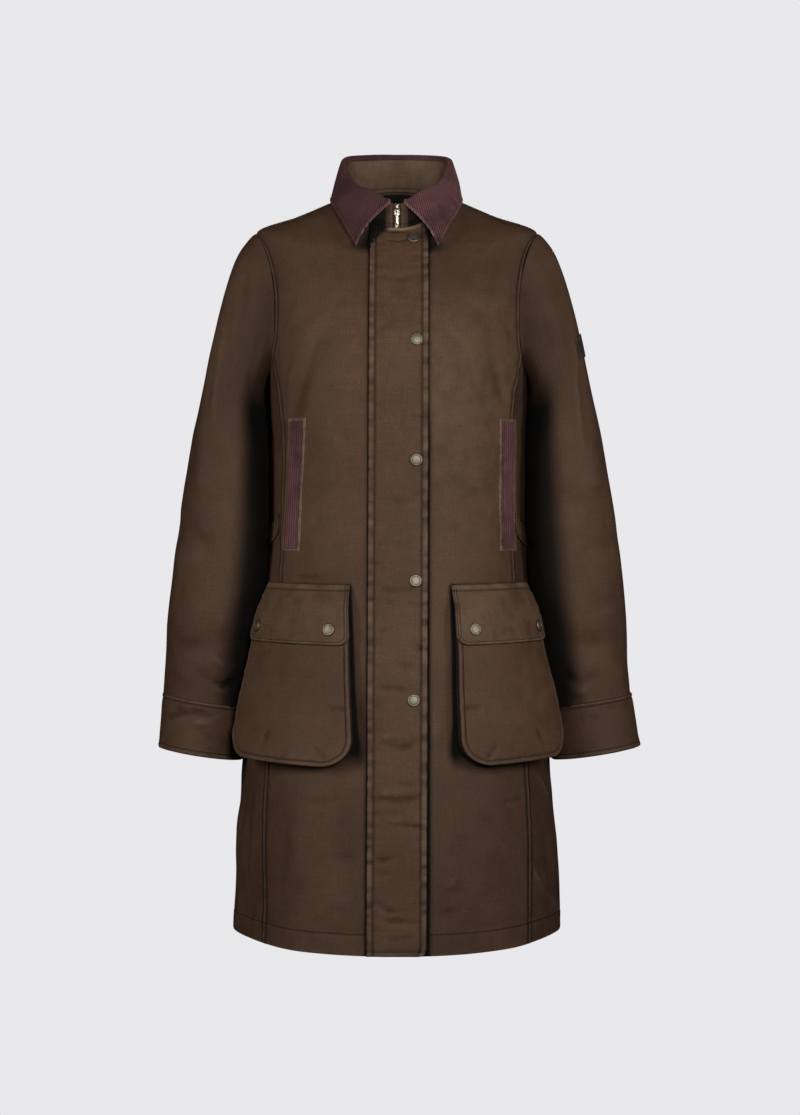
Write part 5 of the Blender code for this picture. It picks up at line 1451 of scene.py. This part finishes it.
def pocket_bag(side):
    width = pocket_width(side, BAG_BOTTOM + BAG_CORNER)
    above = marks(BAG_TOP - BAG_BOTTOM, BAG_STEPS[0])[0][:, None]
    z = BAG_BOTTOM + above
    share = marks(width, BAG_STEPS[1])[0][None, :] / width
    turn, rise, across = pocket_place(side, share, z, corner_inset(above, BAG_CORNER))
    far = across * width
    edge = round_edge(far, width, above, BAG_CORNER)
    relief = felled(edge, *BAG_FELL)
    relief[1] *= 0.5
    crease, colouring = crease_height(BAG_CREASES, MILLIMETRE, far, above)
    relief = relief + creased(colouring)
    relief[0] += crease + pucker(np.abs(edge - 0.005), far + above, BAG_SEED + side, *BAG_PUCKER)
    lay(named("pocket_bag", side), drape, turn * side, rise, bag_face(across, z), relief,
        flip=side == RIGHT, rests_on=[named("front", side), named("pocket_gusset", side)])


def pocket_edge(bottom, top, corner, bends, flats):
    """Shares across, heights and corner cuts along both sides and the rounded bottom of a pocket piece."""
    low = bottom + corner * (1 - np.cos(np.linspace(0, math.pi / 2, bends)))
    heights = np.concatenate([low, np.linspace(low[-1], top, 40)[1:]])[::-1]
    z = np.concatenate([heights, np.full(flats, bottom), heights[::-1]])
    share = np.concatenate([0 * heights, np.linspace(0, 1, flats + 2)[1:-1], 0 * heights + 1])
    return share, z, corner_inset(z - bottom, corner)


def gusset_face(side, inset):
    """A strip from the front to the back of the bag's edge, folded in softly along its middle."""
    share, z, cut = pocket_edge(BAG_BOTTOM, BAG_TOP, BAG_CORNER, 22, 44)
    rows = []
    for level in np.linspace(0, 1, GUSSET_LEVELS):
        fold = inset + GUSSET_FOLD * math.sin(math.pi * level) ** 1.3
        lifted = np.maximum(z, BAG_BOTTOM + fold)
        turn, rise, across = pocket_place(side, share, lifted, cut + fold)
        stand = bag_stand(across, lifted) - GUSSET_GAP
        rows.append(on_body(turn * side, rise, GUSSET_GAP + (stand - GUSSET_GAP) * level))
    return np.stack(rows)


def pocket_gusset(side):
    outer, inner = (gusset_face(side, inset) for inset in (GUSSET_INSET, GUSSET_INSET + THIN_CLOTH))
    flat = np.stack([run_along(outer, 1), run_along(outer, 0)], axis=-1)
    sew(named("pocket_gusset", side), outer, inner, flat, shade=GUSSET_SHADE, flip=side == RIGHT,
        held="folded", rests_on=[named("front", side)])


def pocket_flap_place(side, share, z):
    """Turn, rise, stand of the flap's outer face and way across it."""
    inset = corner_inset(z - POCKET_FLAP_BOTTOM, POCKET_FLAP_CORNER)
    turn, rise, across = pocket_place(side, share, z, inset - POCKET_FLAP_OVERHANG)
    return turn, rise, flap_face(across, z), across


def pocket_flap(side):
    width = pocket_width(side, POCKET_FLAP_BOTTOM)
    above = marks(POCKET_FLAP_TOP - POCKET_FLAP_BOTTOM, POCKET_FLAP_STEPS[0])[0][:, None]
    share = marks(width, POCKET_FLAP_STEPS[1])[0][None, :] / width
    turn, rise, stand, across = pocket_flap_place(side, share, POCKET_FLAP_BOTTOM + above)
    far = across * width
    edge = round_edge(far, width, above, POCKET_FLAP_CORNER)
    relief = felled(edge, *POCKET_FLAP_FELL) + felled(above[-1] - above + 0 * far, *POCKET_FLAP_HEAD)
    relief[0] += pucker(edge, far + above, POCKET_FLAP_SEED + side, *POCKET_FLAP_PUCKER)
    relief[0] += 0.8 * soft_waves(far, above, POCKET_WAVE_SEED + side)
    # Painted light over the whole pocket flap
    relief[1] += POCKET_FLAP_PAINTED_LIGHT[side]
    lay(named("pocket_flap", side), drape, turn * side, rise, stand, relief, flip=side == RIGHT,
        rests_on=[named("pocket_bag", side)])


def sleeve_patch():
    turn = np.radians(np.linspace(*PATCH_TURNS, 26))[None, :]
    length = np.linspace(*PATCH_LENGTHS, 14)[:, None]
    edge = np.minimum(np.minimum(length - PATCH_LENGTHS[0], PATCH_LENGTHS[1] - length),
                      SLEEVE_RADIUS * np.minimum(turn - turn[0, 0], turn[0, -1] - turn))
    relief = np.stack([-0.0003 * bell(edge, 0.0010), 0.5 * bell(edge - 0.0012, 0.0012), 0 * edge])
    lay("sleeve_patch", sleeve_drape(LEFT), turn, length, LAID_GAP + THIN_CLOTH, relief, THIN_CLOTH, "patch",
        SLEEVE_RADIUS, flip=True, held="laid", rests_on=["sleeve_top_left"])


# Snap cap from its flange to the middle: inset of the top face, then how far that face is raised
CAP_FLANGE = 0.0011
CAP_STEPS = ((0.0004, 0.00015), (0.0006, 0.00035), (0.0002, 0.00045), (0.0008, 0.00005), (0.0002, -0.00040),
             (0.0007, 0.0), (0.0002, 0.00045), (0.0012, 0.00020), (0.0016, 0.00010), (0.0012, 0.00004))
CAP_SIDES = 40
# The two steps that bound the floor of the pressed ring, the width of the dark rim, which is a painted shadow
# outline, and how dark both are
RING_STEPS, CAP_RIM, RADIUS_SLACK = [4, 5], 0.0006, 0.0001
GROOVE_SHADE, RIM_SHADE = 0.75, 0.90
TOOTH_SIZE = (0.0026, 0.0010, 0.0013)
TOOTH_PITCH, TOOTH_SHIFT, TOOTH_SINK = 0.0013, 0.0007, 0.0002
METAL_BEVEL = 0.0003
# Cloth that a cap sits on: reach as a share of its radius, and the highest step
SEAT_SHARE, SEAT_STEP = 0.8, 0.004
# Shares of the pull's size: width of its tab, length of the upper part, widening of the lower end
TAB_WIDTH, TAB_UPPER, TAB_FLARE = 0.8, 0.7, 1.25
# A stitch against its thread: thickness, and how far its middle stands out of the cloth
STITCH_FLAT, STITCH_STAND = 0.7, 0.2
# Sheets with stitches along their grid: name of the run, sheet, columns and rows
WIDE_EDGES = (WIDE_ROW, -1 - WIDE_ROW)
SIDE_STITCHES = (
    ("front", "front", (-1 - WIDE_ROW,), (HEM_ROW,)),
    ("side", "side", (), (HEM_ROW,)),
    ("sleeve", "sleeve_top", (-1 - SEAM_ROW,), ()),
    ("cuff", "cuff", (), (SEAM_ROW, -2 - SEAM_ROW)),
    ("waist_strap", "waist_strap", (), (SEAM_ROW - 1, -SEAM_ROW)),
    ("welt_frame", "welt_frame", (), (4,)),
)
MIDDLE_STITCHES = (("back", WIDE_EDGES, (HEM_ROW,)), ("storm_flap", WIDE_EDGES, (4,)),
                   ("collar_fall", (), (SEAM_ROW,)))


def start_part():
    if bpy.context.object is not None and bpy.context.object.mode != "OBJECT":
        bpy.ops.object.mode_set(mode="OBJECT")
    bpy.ops.object.select_all(action="DESELECT")


def block(size, middle):
    """A box of the given size about a point, left in edit mode with all of it selected."""
    bpy.ops.mesh.primitive_cube_add(size=1)
    bpy.ops.object.mode_set(mode="EDIT")
    bpy.ops.mesh.select_all(action="SELECT")
    bpy.ops.transform.resize(value=size, center_override=(0, 0, 0))
    bpy.ops.transform.translate(value=middle)
    return bpy.context.object


def pick_faces(part, way):
    """Selects the faces that look a way, and goes back to edit mode."""
    bpy.ops.mesh.select_mode(type="FACE")
    bpy.ops.mesh.select_all(action="DESELECT")
    bpy.ops.object.mode_set(mode="OBJECT")
    for face in part.data.polygons:
        face.select = face.normal.dot(Vector(way)) > 0.9
    bpy.ops.object.mode_set(mode="EDIT")


def soften(part, width):
    """Bevels every edge a little, applies it and shades the part smooth between sharp edges."""
    bpy.ops.object.mode_set(mode="OBJECT")
    bevel = part.modifiers.new("edges", "BEVEL")
    bevel.width = width
    bevel.segments = 2
    bevel.limit_method = "ANGLE"
    bpy.ops.object.modifier_apply(modifier=bevel.name)
    bpy.ops.object.shade_smooth_by_angle(angle=math.radians(40))


def join(parts):
    """Joins parts to the last of them."""
    start_part()
    for part in parts:
        part.select_set(True)
    bpy.context.view_layer.objects.active = parts[-1]
    bpy.ops.object.join()


def settle_part(part, name, node, body, slot):
    """Names a finished part, gives it its finish and lets it stand for its node."""
    part.name = part.data.name = name
    part.data.materials.clear()
    part.data.materials.append(finish(slot))
    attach(part, body)
    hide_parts(node)


def snap_cap():
    """One cap, drawn up from a flange to a domed middle with a pressed ring."""
    start_part()
    bpy.ops.mesh.primitive_cylinder_add(vertices=CAP_SIDES, radius=SNAP_RADIUS, depth=CAP_FLANGE,
                                        location=(0, 0, CAP_FLANGE / 2))
    cap = bpy.context.object
    bpy.ops.object.transform_apply(location=True)
    bpy.ops.object.mode_set(mode="EDIT")
    pick_faces(cap, (0, 0, 1))
    for inset, rise in CAP_STEPS:
        bpy.ops.mesh.inset(thickness=inset, depth=0.0)
        bpy.ops.transform.translate(value=(0, 0, rise))
    bpy.ops.object.mode_set(mode="OBJECT")
    bpy.ops.object.shade_smooth_by_angle(angle=math.radians(50))
    outer, inner = (SNAP_RADIUS - np.cumsum([inset for inset, _ in CAP_STEPS]))[RING_STEPS]
    shade = cap.data.attributes.new("shade", "FLOAT", "POINT")
    for vertex, value in zip(cap.data.vertices, shade.data):
        radius = math.hypot(vertex.co.x, vertex.co.y)
        # Painted shadow outline at the rim; the floor of the pressed ring is darkened too
        if radius > SNAP_RADIUS - CAP_RIM:
            value.value = RIM_SHADE
        elif inner - RADIUS_SLACK < radius < outer + RADIUS_SLACK:
            value.value = GROOVE_SHADE
    return cap


def seated(grid, point, normal):
    """A point moved along its normal onto the highest cloth under a cap there."""
    points = grids[grid][0].reshape(-1, 3) - point
    high = points @ normal
    aside = np.linalg.norm(points - high[:, None] * normal, axis=1)
    under = (aside < SEAT_SHARE * SNAP_RADIUS) & (np.abs(high) < SEAT_STEP)
    return point + normal * (high[under].max() - LAID_GAP / 3)


def snap_places():
    """Name, cloth, point and normal of every cap."""
    for number, (x, z) in enumerate(FLAP_SNAPS, 1):
        rise = np.array(rise_at(z, 0.0))
        turn = turn_at(x, rise)
        point, normal = on_body(turn, rise, LAID_GAP + CLOTH), normals_of(body_form, turn, rise)
        yield f"snap_{number}", "storm_flap", point, normal
    for side in SIDES:

        def flap_form(share, z):
            turn, rise, stand, _ = pocket_flap_place(side, share, z)
            return body_form(turn * side, rise) + normals_of(body_form, turn * side, rise) * stand[..., None]

        for label, share in zip(("inner", "outer"), POCKET_SNAPS):
            at = (np.array(share), np.array(POCKET_SNAP_Z))
            point, normal = flap_form(*at), normals_of(flap_form, *at) * side
            yield f"pocket_snap_{SIDE_NAMES[side]}_{label}", named("pocket_flap", side), point, normal


def snaps():
    cap = snap_cap()
    for name, grid, point, normal in snap_places():
        mesh = cap.data.copy()
        way = Vector((0, 0, 1)).rotation_difference(Vector(normal))
        mesh.transform(Matrix.Translation(Vector(seated(grid, point, normal))) @ way.to_matrix().to_4x4())
        made = bpy.data.objects.new(name, mesh)
        bpy.context.scene.collection.objects.link(made)
        settle_part(made, name + "_cap", name, "root", "antique_brass")
    bpy.data.objects.remove(cap)


def zip_slider():
    """The slider: a bevelled body with two tapered lugs."""
    start_part()
    wide, deep, tall = SLIDER_SIZE
    body = block((wide, deep, tall), (0, -deep / 2, 0))
    soften(body, METAL_BEVEL * 2)
    lugs = []
    for side in SIDES:
        start_part()
        lug = block((LUG_OUTER - LUG_INNER, LUG_DEPTH, tall),
                    (side * (LUG_OUTER + LUG_INNER) / 2, -deep - LUG_DEPTH / 2, 0))
        pick_faces(lug, (0, -1, 0))
        bpy.ops.transform.resize(value=(1, 1, LUG_TAPER), center_override=(0, 0, 0))
        soften(lug, METAL_BEVEL)
        lugs.append(lug)
    join(lugs + [body])
    fold, _, _ = collar_lines(np.array([STAND_TURN]))
    foot = body_form(0.0, NECK_RISE)
    share = (SLIDER_MIDDLE_Z - foot[2]) / (fold[0, 2] - foot[2])
    seat_y = foot[1] * (1 - share) + fold[0, 1] * share
    body.data.transform(Matrix.Translation((0, seat_y - SLIDER_GAP, SLIDER_MIDDLE_Z))
                        @ Matrix.Rotation(STAND_LEAN, 4, "X"))
    settle_part(body, "slider", "zip_slider", "root", "zip_metal")


def zip_pull():
    """The pull: an eye on the hinge axis and a slim tab below it, wider at its end."""
    start_part()
    bpy.ops.mesh.primitive_cylinder_add(vertices=20, radius=PULL_EYE, depth=PULL_WIDTH,
                                        rotation=(0, math.pi / 2, 0))
    eye = bpy.context.object
    bpy.ops.object.transform_apply(rotation=True)
    bpy.ops.object.mode_set(mode="EDIT")
    soften(eye, METAL_BEVEL / 2)
    start_part()
    upper = PULL_LENGTH * TAB_UPPER
    tab = block((PULL_WIDTH * TAB_WIDTH, PULL_THICK, upper), (0, 0, -upper / 2))
    pick_faces(tab, (0, 0, -1))
    bpy.ops.mesh.extrude_region_move(TRANSFORM_OT_translate={"value": (0, 0, upper - PULL_LENGTH)})
    bpy.ops.transform.resize(value=(TAB_FLARE, 1, 1), center_override=(0, 0, -PULL_LENGTH))
    soften(tab, METAL_BEVEL)
    join([eye, tab])
    tab.data.transform(Matrix.Translation((0, PULL_AXIS_Y, PULL_AXIS_Z)))
    settle_part(tab, "pull_tab", "zip_pull", "pull", "zip_metal")


def repeated(name, part, places, axes, material):
    """One mesh of many copies of a small part, each at a place with its own three axes."""
    points = np.array([vertex.co for vertex in part.data.vertices])
    faces = [np.array(face.vertices) for face in part.data.polygons]
    moved = places[:, None, :] + np.einsum("pk,nkc->npc", points, axes)
    all_faces = [(face + number * len(points)).tolist() for number in range(len(places)) for face in faces]
    mesh = bpy.data.meshes.new(name)
    mesh.from_pydata(moved.reshape(-1, 3), [], all_faces)
    mesh.shade_smooth()
    mesh.set_sharp_from_angle(angle=math.radians(50))
    return new_object(name, mesh, material)


def length_of(line):
    """Length gone along a line of points, at each of them."""
    return run_along(line[:, None, :], 0)[:, 0]


def at_lengths(at, gone, values):
    """Vectors given at lengths along a line, read at other lengths."""
    return np.stack([np.interp(at, gone, values[:, axis]) for axis in range(3)], axis=1)


def zip_teeth():
    """Teeth of the chain: one bevelled block, copied by turns to each side of the middle."""
    start_part()
    tooth = block(TOOTH_SIZE, (0, 0, 0))
    soften(tooth, METAL_BEVEL)
    line, normals = zip_face()
    gone = length_of(line)
    at = np.arange(TOOTH_PITCH, gone[-1] - TOOTH_PITCH, TOOTH_PITCH)
    normal, along = (unit(at_lengths(at, gone, values)) for values in (normals, np.gradient(line, axis=0)))
    point = at_lengths(at, gone, line)
    point[:, 0] += np.where(np.arange(len(at)) % 2 == 0, TOOTH_SHIFT, -TOOTH_SHIFT)
    point = point + normal * (TOOTH_SIZE[1] / 2 - TOOTH_SINK)
    axes = np.stack([np.tile([1.0, 0.0, 0.0], (len(at), 1)), -normal, along], axis=1)
    made = repeated("zip_teeth", tooth, point, axes, finish("zip_metal"))
    bpy.data.objects.remove(tooth)


def stitch_run(points, normals, sizes):
    """Places and axes of the stitches along a line of points on cloth."""
    gone = length_of(points)
    pitch = sizes.stitch_length + sizes.stitch_gap
    at = np.arange(pitch, gone[-1] - pitch / 2, pitch)
    point, normal = at_lengths(at, gone, points), unit(at_lengths(at, gone, normals))
    along = unit(at_lengths(at + pitch / 3, gone, points) - point)
    across = unit(np.cross(along, normal))
    return point + normal * sizes.stitch_width * STITCH_STAND, np.stack([across, normal, along], axis=1)


def near_cloth(grid, points):
    """The cloth's own points and normals nearest to a line of points."""
    cloth, normals = (values.reshape(-1, 3) for values in grids[grid])
    nearest = np.array([np.argmin(((cloth - point) ** 2).sum(axis=1)) for point in points])
    normal = normals[nearest]
    high = ((cloth[nearest] - points) * normal).sum(axis=1, keepdims=True)
    return points + normal * high, normal


def edge_line(side, inset, top, bottom, corner, outside, face):
    """A line of points at a distance inside the sides and rounded bottom of a pocket piece."""
    share, z, cut = pocket_edge(bottom + inset, top, corner - inset, 30, 40)
    turn, rise, across = pocket_place(side, share, z, cut + inset - outside)
    return on_body(turn * side, rise, face(across, z))


def grid_lines(grid, columns, rows):
    """Points and normals along columns and rows of a sheet's grid."""
    points, normals = grids[grid]
    return ([(points[:, column], normals[:, column]) for column in columns]
            + [(points[row], normals[row]) for row in rows])


def stitch_lines():
    """Every line of stitches, by the piece that it is sewn through."""
    for side in SIDES:
        for name, sheet, columns, rows in SIDE_STITCHES:
            yield named(name, side), grid_lines(named(sheet, side), columns, rows)
    for name, columns, rows in MIDDLE_STITCHES:
        yield name, grid_lines(name, columns, rows)
    for side in SIDES:
        bag, flap = named("pocket_bag", side), named("pocket_flap", side)
        line = edge_line(side, BAG_STITCH, BAG_TOP, BAG_BOTTOM, BAG_CORNER, 0.0, bag_face)
        yield bag, [near_cloth(bag, line)]
        line = edge_line(side, FLAP_STITCH, POCKET_FLAP_TOP - 0.009, POCKET_FLAP_BOTTOM, POCKET_FLAP_CORNER,
                         POCKET_FLAP_OVERHANG, flap_face)
        yield flap, [near_cloth(flap, line)] + grid_lines(flap, (), (-1 - WIDE_ROW,))


def stitches():
    sizes = bpy.context.scene.jacket_sizes
    start_part()
    bpy.ops.mesh.primitive_uv_sphere_add(segments=4, ring_count=4, radius=0.5)
    stitch = bpy.context.object
    bpy.ops.object.mode_set(mode="EDIT")
    bpy.ops.mesh.select_all(action="SELECT")
    width = sizes.stitch_width
    bpy.ops.transform.resize(value=(width, width * STITCH_FLAT, sizes.stitch_length),
                             center_override=(0, 0, 0))
    bpy.ops.object.mode_set(mode="OBJECT")
    for name, lines in stitch_lines():
        runs = [stitch_run(points, normals, sizes) for points, normals in lines]
        places, axes = (np.concatenate(values) for values in zip(*runs))
        made = repeated("stitches_" + name, stitch, places, axes, finish("sewing_thread"))
    bpy.data.objects.remove(stitch)


# Colour of the lamps, then place, target and size of each
LAMP_COLOUR = (1.0, 0.97, 0.91)
FRONT_LAMP = ((0.35, -2.2, 0.0), (0, 0, -0.3), (0.6, 0.6))
BACK_LAMP = ((0.0, 2.4, 0.2), (0, 0, -0.4), (1.0, 1.0))
SIDE_LAMPS = {side: ((side * 1.5, -1.25, 0.0), (0, 0, -0.3), (0.45, 0.9)) for side in SIDES}
SENSOR_WIDTH = 36.0


def area_light(name, lamp_place, power):
    place, target, size = lamp_place
    lamp = bpy.data.lights.new(name, "AREA")
    lamp.shape = "RECTANGLE"
    lamp.size, lamp.size_y = size
    lamp.energy = power
    lamp.color = LAMP_COLOUR
    made = bpy.data.objects.new(name, lamp)
    made.location = place
    made.rotation_euler = (Vector(target) - Vector(place)).to_track_quat("-Z", "Y").to_euler()
    made.visible_camera = False
    bpy.context.scene.collection.objects.link(made)


def room_world(settings):
    """A plain bright backdrop for the camera, and dimmer light from all round for the cloth."""
    world = bpy.data.worlds.new("room")
    world.use_nodes = True
    graph = Graph(world.node_tree)
    seen = graph.add("ShaderNodeLightPath").outputs["Is Camera Ray"]
    colour = graph.mix(seen, colour_of(settings.room), colour_of(settings.backdrop))
    graph.fill(world.node_tree.nodes["Background"], {"Color": colour})
    bpy.context.scene.world = world


def floor_disc(settings):
    """A pale floor under the jacket that shows as the backdrop does and throws no light."""
    start_part()
    bpy.ops.mesh.primitive_circle_add(vertices=96, radius=settings.floor_radius, fill_type="NGON",
                                      location=(0, 0, settings.floor_height))
    floor = bpy.context.object
    floor.name = floor.data.name = "floor"
    made, graph, shader = new_material("floor")
    graph.tree.nodes.remove(shader)
    glow = graph.add("ShaderNodeEmission", {"Color": colour_of(settings.backdrop)}).outputs[0]
    graph.fill(graph.tree.nodes["Material Output"], {"Surface": glow})
    floor.data.materials.append(made)
    floor.visible_diffuse = floor.visible_glossy = floor.visible_shadow = False


def camera(settings):
    made = bpy.data.cameras.new("camera")
    made.lens = settings.lens
    made.sensor_width = SENSOR_WIDTH
    made.sensor_fit = "HORIZONTAL"
    placed = bpy.data.objects.new("camera", made)
    placed.location = (settings.camera_x, -settings.camera_distance, settings.camera_height)
    placed.rotation_euler = (math.pi / 2, 0, 0)
    bpy.context.scene.collection.objects.link(placed)
    bpy.context.scene.camera = placed


def colour_property(label, note, default):
    return FloatVectorProperty(name=label, description=note, subtype="COLOR", size=3, min=0.0, max=1.0,
                               default=default)


def length_property(label, note, default):
    return FloatProperty(name=label, description=note, unit="LENGTH", precision=5, default=default)


def power_property(label, note, default):
    return FloatProperty(name=label, description=note, unit="POWER", default=default)


class JacketColours(bpy.types.PropertyGroup):
    """Colours of the cloth, trim and metal."""

    waxed: colour_property("Waxed cotton", "Ground of the shell cloth", (0.0685, 0.0370, 0.0208))
    waxed_deep: colour_property("Waxed cotton, deep", "Darker patches of the shell cloth",
                                (0.050, 0.0245, 0.0140))
    # The rubbed colour also shows painted light on the chest, pocket flaps, crease ridges and storm flap
    rubbed: colour_property("Rubbed cloth", "Raised edges where the wax is rubbed off", (0.170, 0.118, 0.078))
    lining: colour_property("Neck lining", "Lining behind the back neck", (0.006, 0.006, 0.008))
    tape: colour_property("Zip tape", "Woven tape of the zip", (0.046, 0.031, 0.021))
    patch: colour_property("Sleeve patch", "Plain patch on the left sleeve", (0.018, 0.012, 0.010))
    thread: colour_property("Thread", "Sewing thread", (0.034, 0.020, 0.013))
    corduroy: colour_property("Corduroy", "Ribs of the collar and welts", (0.100, 0.037, 0.042))
    corduroy_deep: colour_property("Corduroy, deep", "Between the ribs", (0.030, 0.010, 0.012))
    # Rubbed nap, and painted light on the front of the collar's fall
    corduroy_rubbed: colour_property("Corduroy, rubbed", "Worn nap", (0.190, 0.100, 0.100))
    brass: colour_property("Antique brass", "Snap caps", (0.200, 0.172, 0.140))
    # Also the colour of the painted shadow along the snap caps' rims
    tarnish: colour_property("Tarnish", "Dark places on metal", (0.060, 0.045, 0.034))
    zip_metal: colour_property("Zip metal", "Teeth, slider and pull", (0.780, 0.720, 0.600))


class JacketSizes(bpy.types.PropertyGroup):
    """Sizes of the cloth's own texture and of the sewing."""

    thread_spacing: length_property("Thread spacing", "Between threads of the weave", 0.0007)
    wale: length_property("Rib width", "From rib to rib of the corduroy", 0.0028)
    wale_height: length_property("Rib height", "Half the depth of the corduroy's ribs", 0.0003)
    rib_radius: length_property("Collar radius", "Where the collar's ribs have their true width", 0.085)
    tooth_width: length_property("Edge tooth width", "From tooth to tooth of the collar's front edges",
                                 0.0024)
    tooth_height: length_property("Edge tooth height", "Depth of the collar's serrated front edges", 0.0004)
    welt_frame: length_property("Welt frame", "Width of the cloth edge round a welt", 0.0036)
    stitch_length: length_property("Stitch length", "Length of one stitch", 0.0026)
    stitch_gap: length_property("Stitch gap", "Between two stitches", 0.0010)
    stitch_width: length_property("Stitch width", "Thickness of the sewing thread", 0.0007)


class JacketStage(bpy.types.PropertyGroup):
    """Camera, lights and backdrop."""

    backdrop: colour_property("Backdrop", "What the camera sees behind the jacket", (0.8148, 0.8069, 0.8309))
    room: colour_property("Room", "Light from all round", (0.012, 0.012, 0.013))
    front_power: power_property("Front light", "Power of the front softbox", 33.5)
    side_power: power_property("Side light", "Power of each side light", 20.5)
    left_share: FloatProperty(name="Left share", description="Left side light, of the right one", default=0.9)
    back_power: power_property("Back light", "Power of the back softbox", 44.0)
    lens: FloatProperty(name="Lens", description="Focal length in millimetres", default=108.0)
    camera_x: length_property("Camera x", "Camera position across", 0.00375)
    camera_distance: length_property("Camera distance", "Camera position in front", 3.0)
    camera_height: length_property("Camera height", "Camera position up", -0.443)
    floor_radius: length_property("Floor radius", "Radius of the floor", 3.0)
    floor_height: length_property("Floor height", "Height of the floor", -1.35)


class JACKET_OT_body(bpy.types.Operator):
    """Sews the fronts, side panels and back"""

    bl_idname = "jacket.body"
    bl_label = "Body Panels"

    def execute(self, context):
        for side in SIDES:
            front(side)
            side_panel(side)
        back()
        return {"FINISHED"}


class JACKET_OT_sleeves(bpy.types.Operator):
    """Sews the two-piece sleeves, the cuffs and the plain patch"""

    bl_idname = "jacket.sleeves"
    bl_label = "Sleeves and Cuffs"

    def execute(self, context):
        for side in SIDES:
            sleeve(side)
            cuff(side)
        sleeve_patch()
        return {"FINISHED"}


class JACKET_OT_collar(bpy.types.Operator):
    """Sews the collar's stand, its corduroy fall and the back-neck lining"""

    bl_idname = "jacket.collar"
    bl_label = "Collar"

    def execute(self, context):
        collar_stand()
        collar_fall()
        neck_lining()
        return {"FINISHED"}


class JACKET_OT_zip(bpy.types.Operator):
    """Makes the zip's tape, teeth, slider and pull"""

    bl_idname = "jacket.zip"
    bl_label = "Zip"

    def execute(self, context):
        zip_tape()
        zip_teeth()
        zip_slider()
        zip_pull()
        return {"FINISHED"}


class JACKET_OT_storm_flap(bpy.types.Operator):
    """Sews the storm flap over the zip"""

    bl_idname = "jacket.storm_flap"
    bl_label = "Storm Flap"

    def execute(self, context):
        storm_flap()
        return {"FINISHED"}


class JACKET_OT_welts(bpy.types.Operator):
    """Sews the corduroy welts, their frames and the waist straps"""

    bl_idname = "jacket.welts"
    bl_label = "Welts and Straps"

    def execute(self, context):
        for side in SIDES:
            welt(side)
            welt_frame(side)
        for side in SIDES:
            waist_strap(side)
        return {"FINISHED"}


class JACKET_OT_pockets(bpy.types.Operator):
    """Sews the bellows pockets: bags, gussets and flaps"""

    bl_idname = "jacket.pockets"
    bl_label = "Bellows Pockets"

    def execute(self, context):
        for side in SIDES:
            pocket_bag(side)
            pocket_gusset(side)
            pocket_flap(side)
        return {"FINISHED"}


class JACKET_OT_snaps(bpy.types.Operator):
    """Models one snap cap and sets a copy at each of its places"""

    bl_idname = "jacket.snaps"
    bl_label = "Snap Caps"

    def execute(self, context):
        snaps()
        return {"FINISHED"}


class JACKET_OT_stitching(bpy.types.Operator):
    """Runs the rows of stitches along the sewn pieces"""

    bl_idname = "jacket.stitching"
    bl_label = "Stitching"

    def execute(self, context):
        stitches()
        return {"FINISHED"}


class JACKET_OT_stage(bpy.types.Operator):
    """Sets the camera, lights, backdrop and floor"""

    bl_idname = "jacket.stage"
    bl_label = "Stage"

    def execute(self, context):
        settings = context.scene.jacket_stage
        context.scene.view_settings.view_transform = "Standard"
        room_world(settings)
        floor_disc(settings)
        area_light("front_softbox", FRONT_LAMP, settings.front_power)
        area_light("back_softbox", BACK_LAMP, settings.back_power)
        for side in SIDES:
            share = settings.left_share if side == LEFT else 1.0
            area_light(named("side_light", side), SIDE_LAMPS[side], settings.side_power * share)
        camera(settings)
        return {"FINISHED"}


PIECES = (JACKET_OT_body, JACKET_OT_sleeves, JACKET_OT_collar, JACKET_OT_zip, JACKET_OT_storm_flap,
          JACKET_OT_welts, JACKET_OT_pockets, JACKET_OT_snaps, JACKET_OT_stitching, JACKET_OT_stage)


class JACKET_PT_panel(bpy.types.Panel):
    """Lists the jacket's pieces, colours and sizes"""

    bl_idname = "JACKET_PT_panel"
    bl_label = "Waxed Jacket"
    bl_space_type = "VIEW_3D"
    bl_region_type = "UI"
    bl_category = "Jacket"

    def draw(self, context):
        layout = self.layout
        for piece in PIECES:
            layout.operator(piece.bl_idname)
        for group in GROUPS:
            settings = getattr(context.scene, group)
            box = layout.box()
            for label in settings.__annotations__:
                box.prop(settings, label)


GROUPS = {"jacket_colours": JacketColours, "jacket_sizes": JacketSizes, "jacket_stage": JacketStage}
CLASSES = (*GROUPS.values(), *PIECES, JACKET_PT_panel)


def register():
    for made in CLASSES:
        bpy.utils.register_class(made)
    for label, group in GROUPS.items():
        setattr(bpy.types.Scene, label, PointerProperty(type=group))


def unregister():
    for label in GROUPS:
        delattr(bpy.types.Scene, label)
    for made in reversed(CLASSES):
        bpy.utils.unregister_class(made)


def main():
    register()
    bpy.ops.jacket.body()
    bpy.ops.jacket.sleeves()
    bpy.ops.jacket.collar()
    bpy.ops.jacket.zip()
    bpy.ops.jacket.storm_flap()
    bpy.ops.jacket.welts()
    bpy.ops.jacket.pockets()
    bpy.ops.jacket.snaps()
    bpy.ops.jacket.stitching()
    bpy.ops.jacket.stage()


if __name__ == "__main__":
    main()
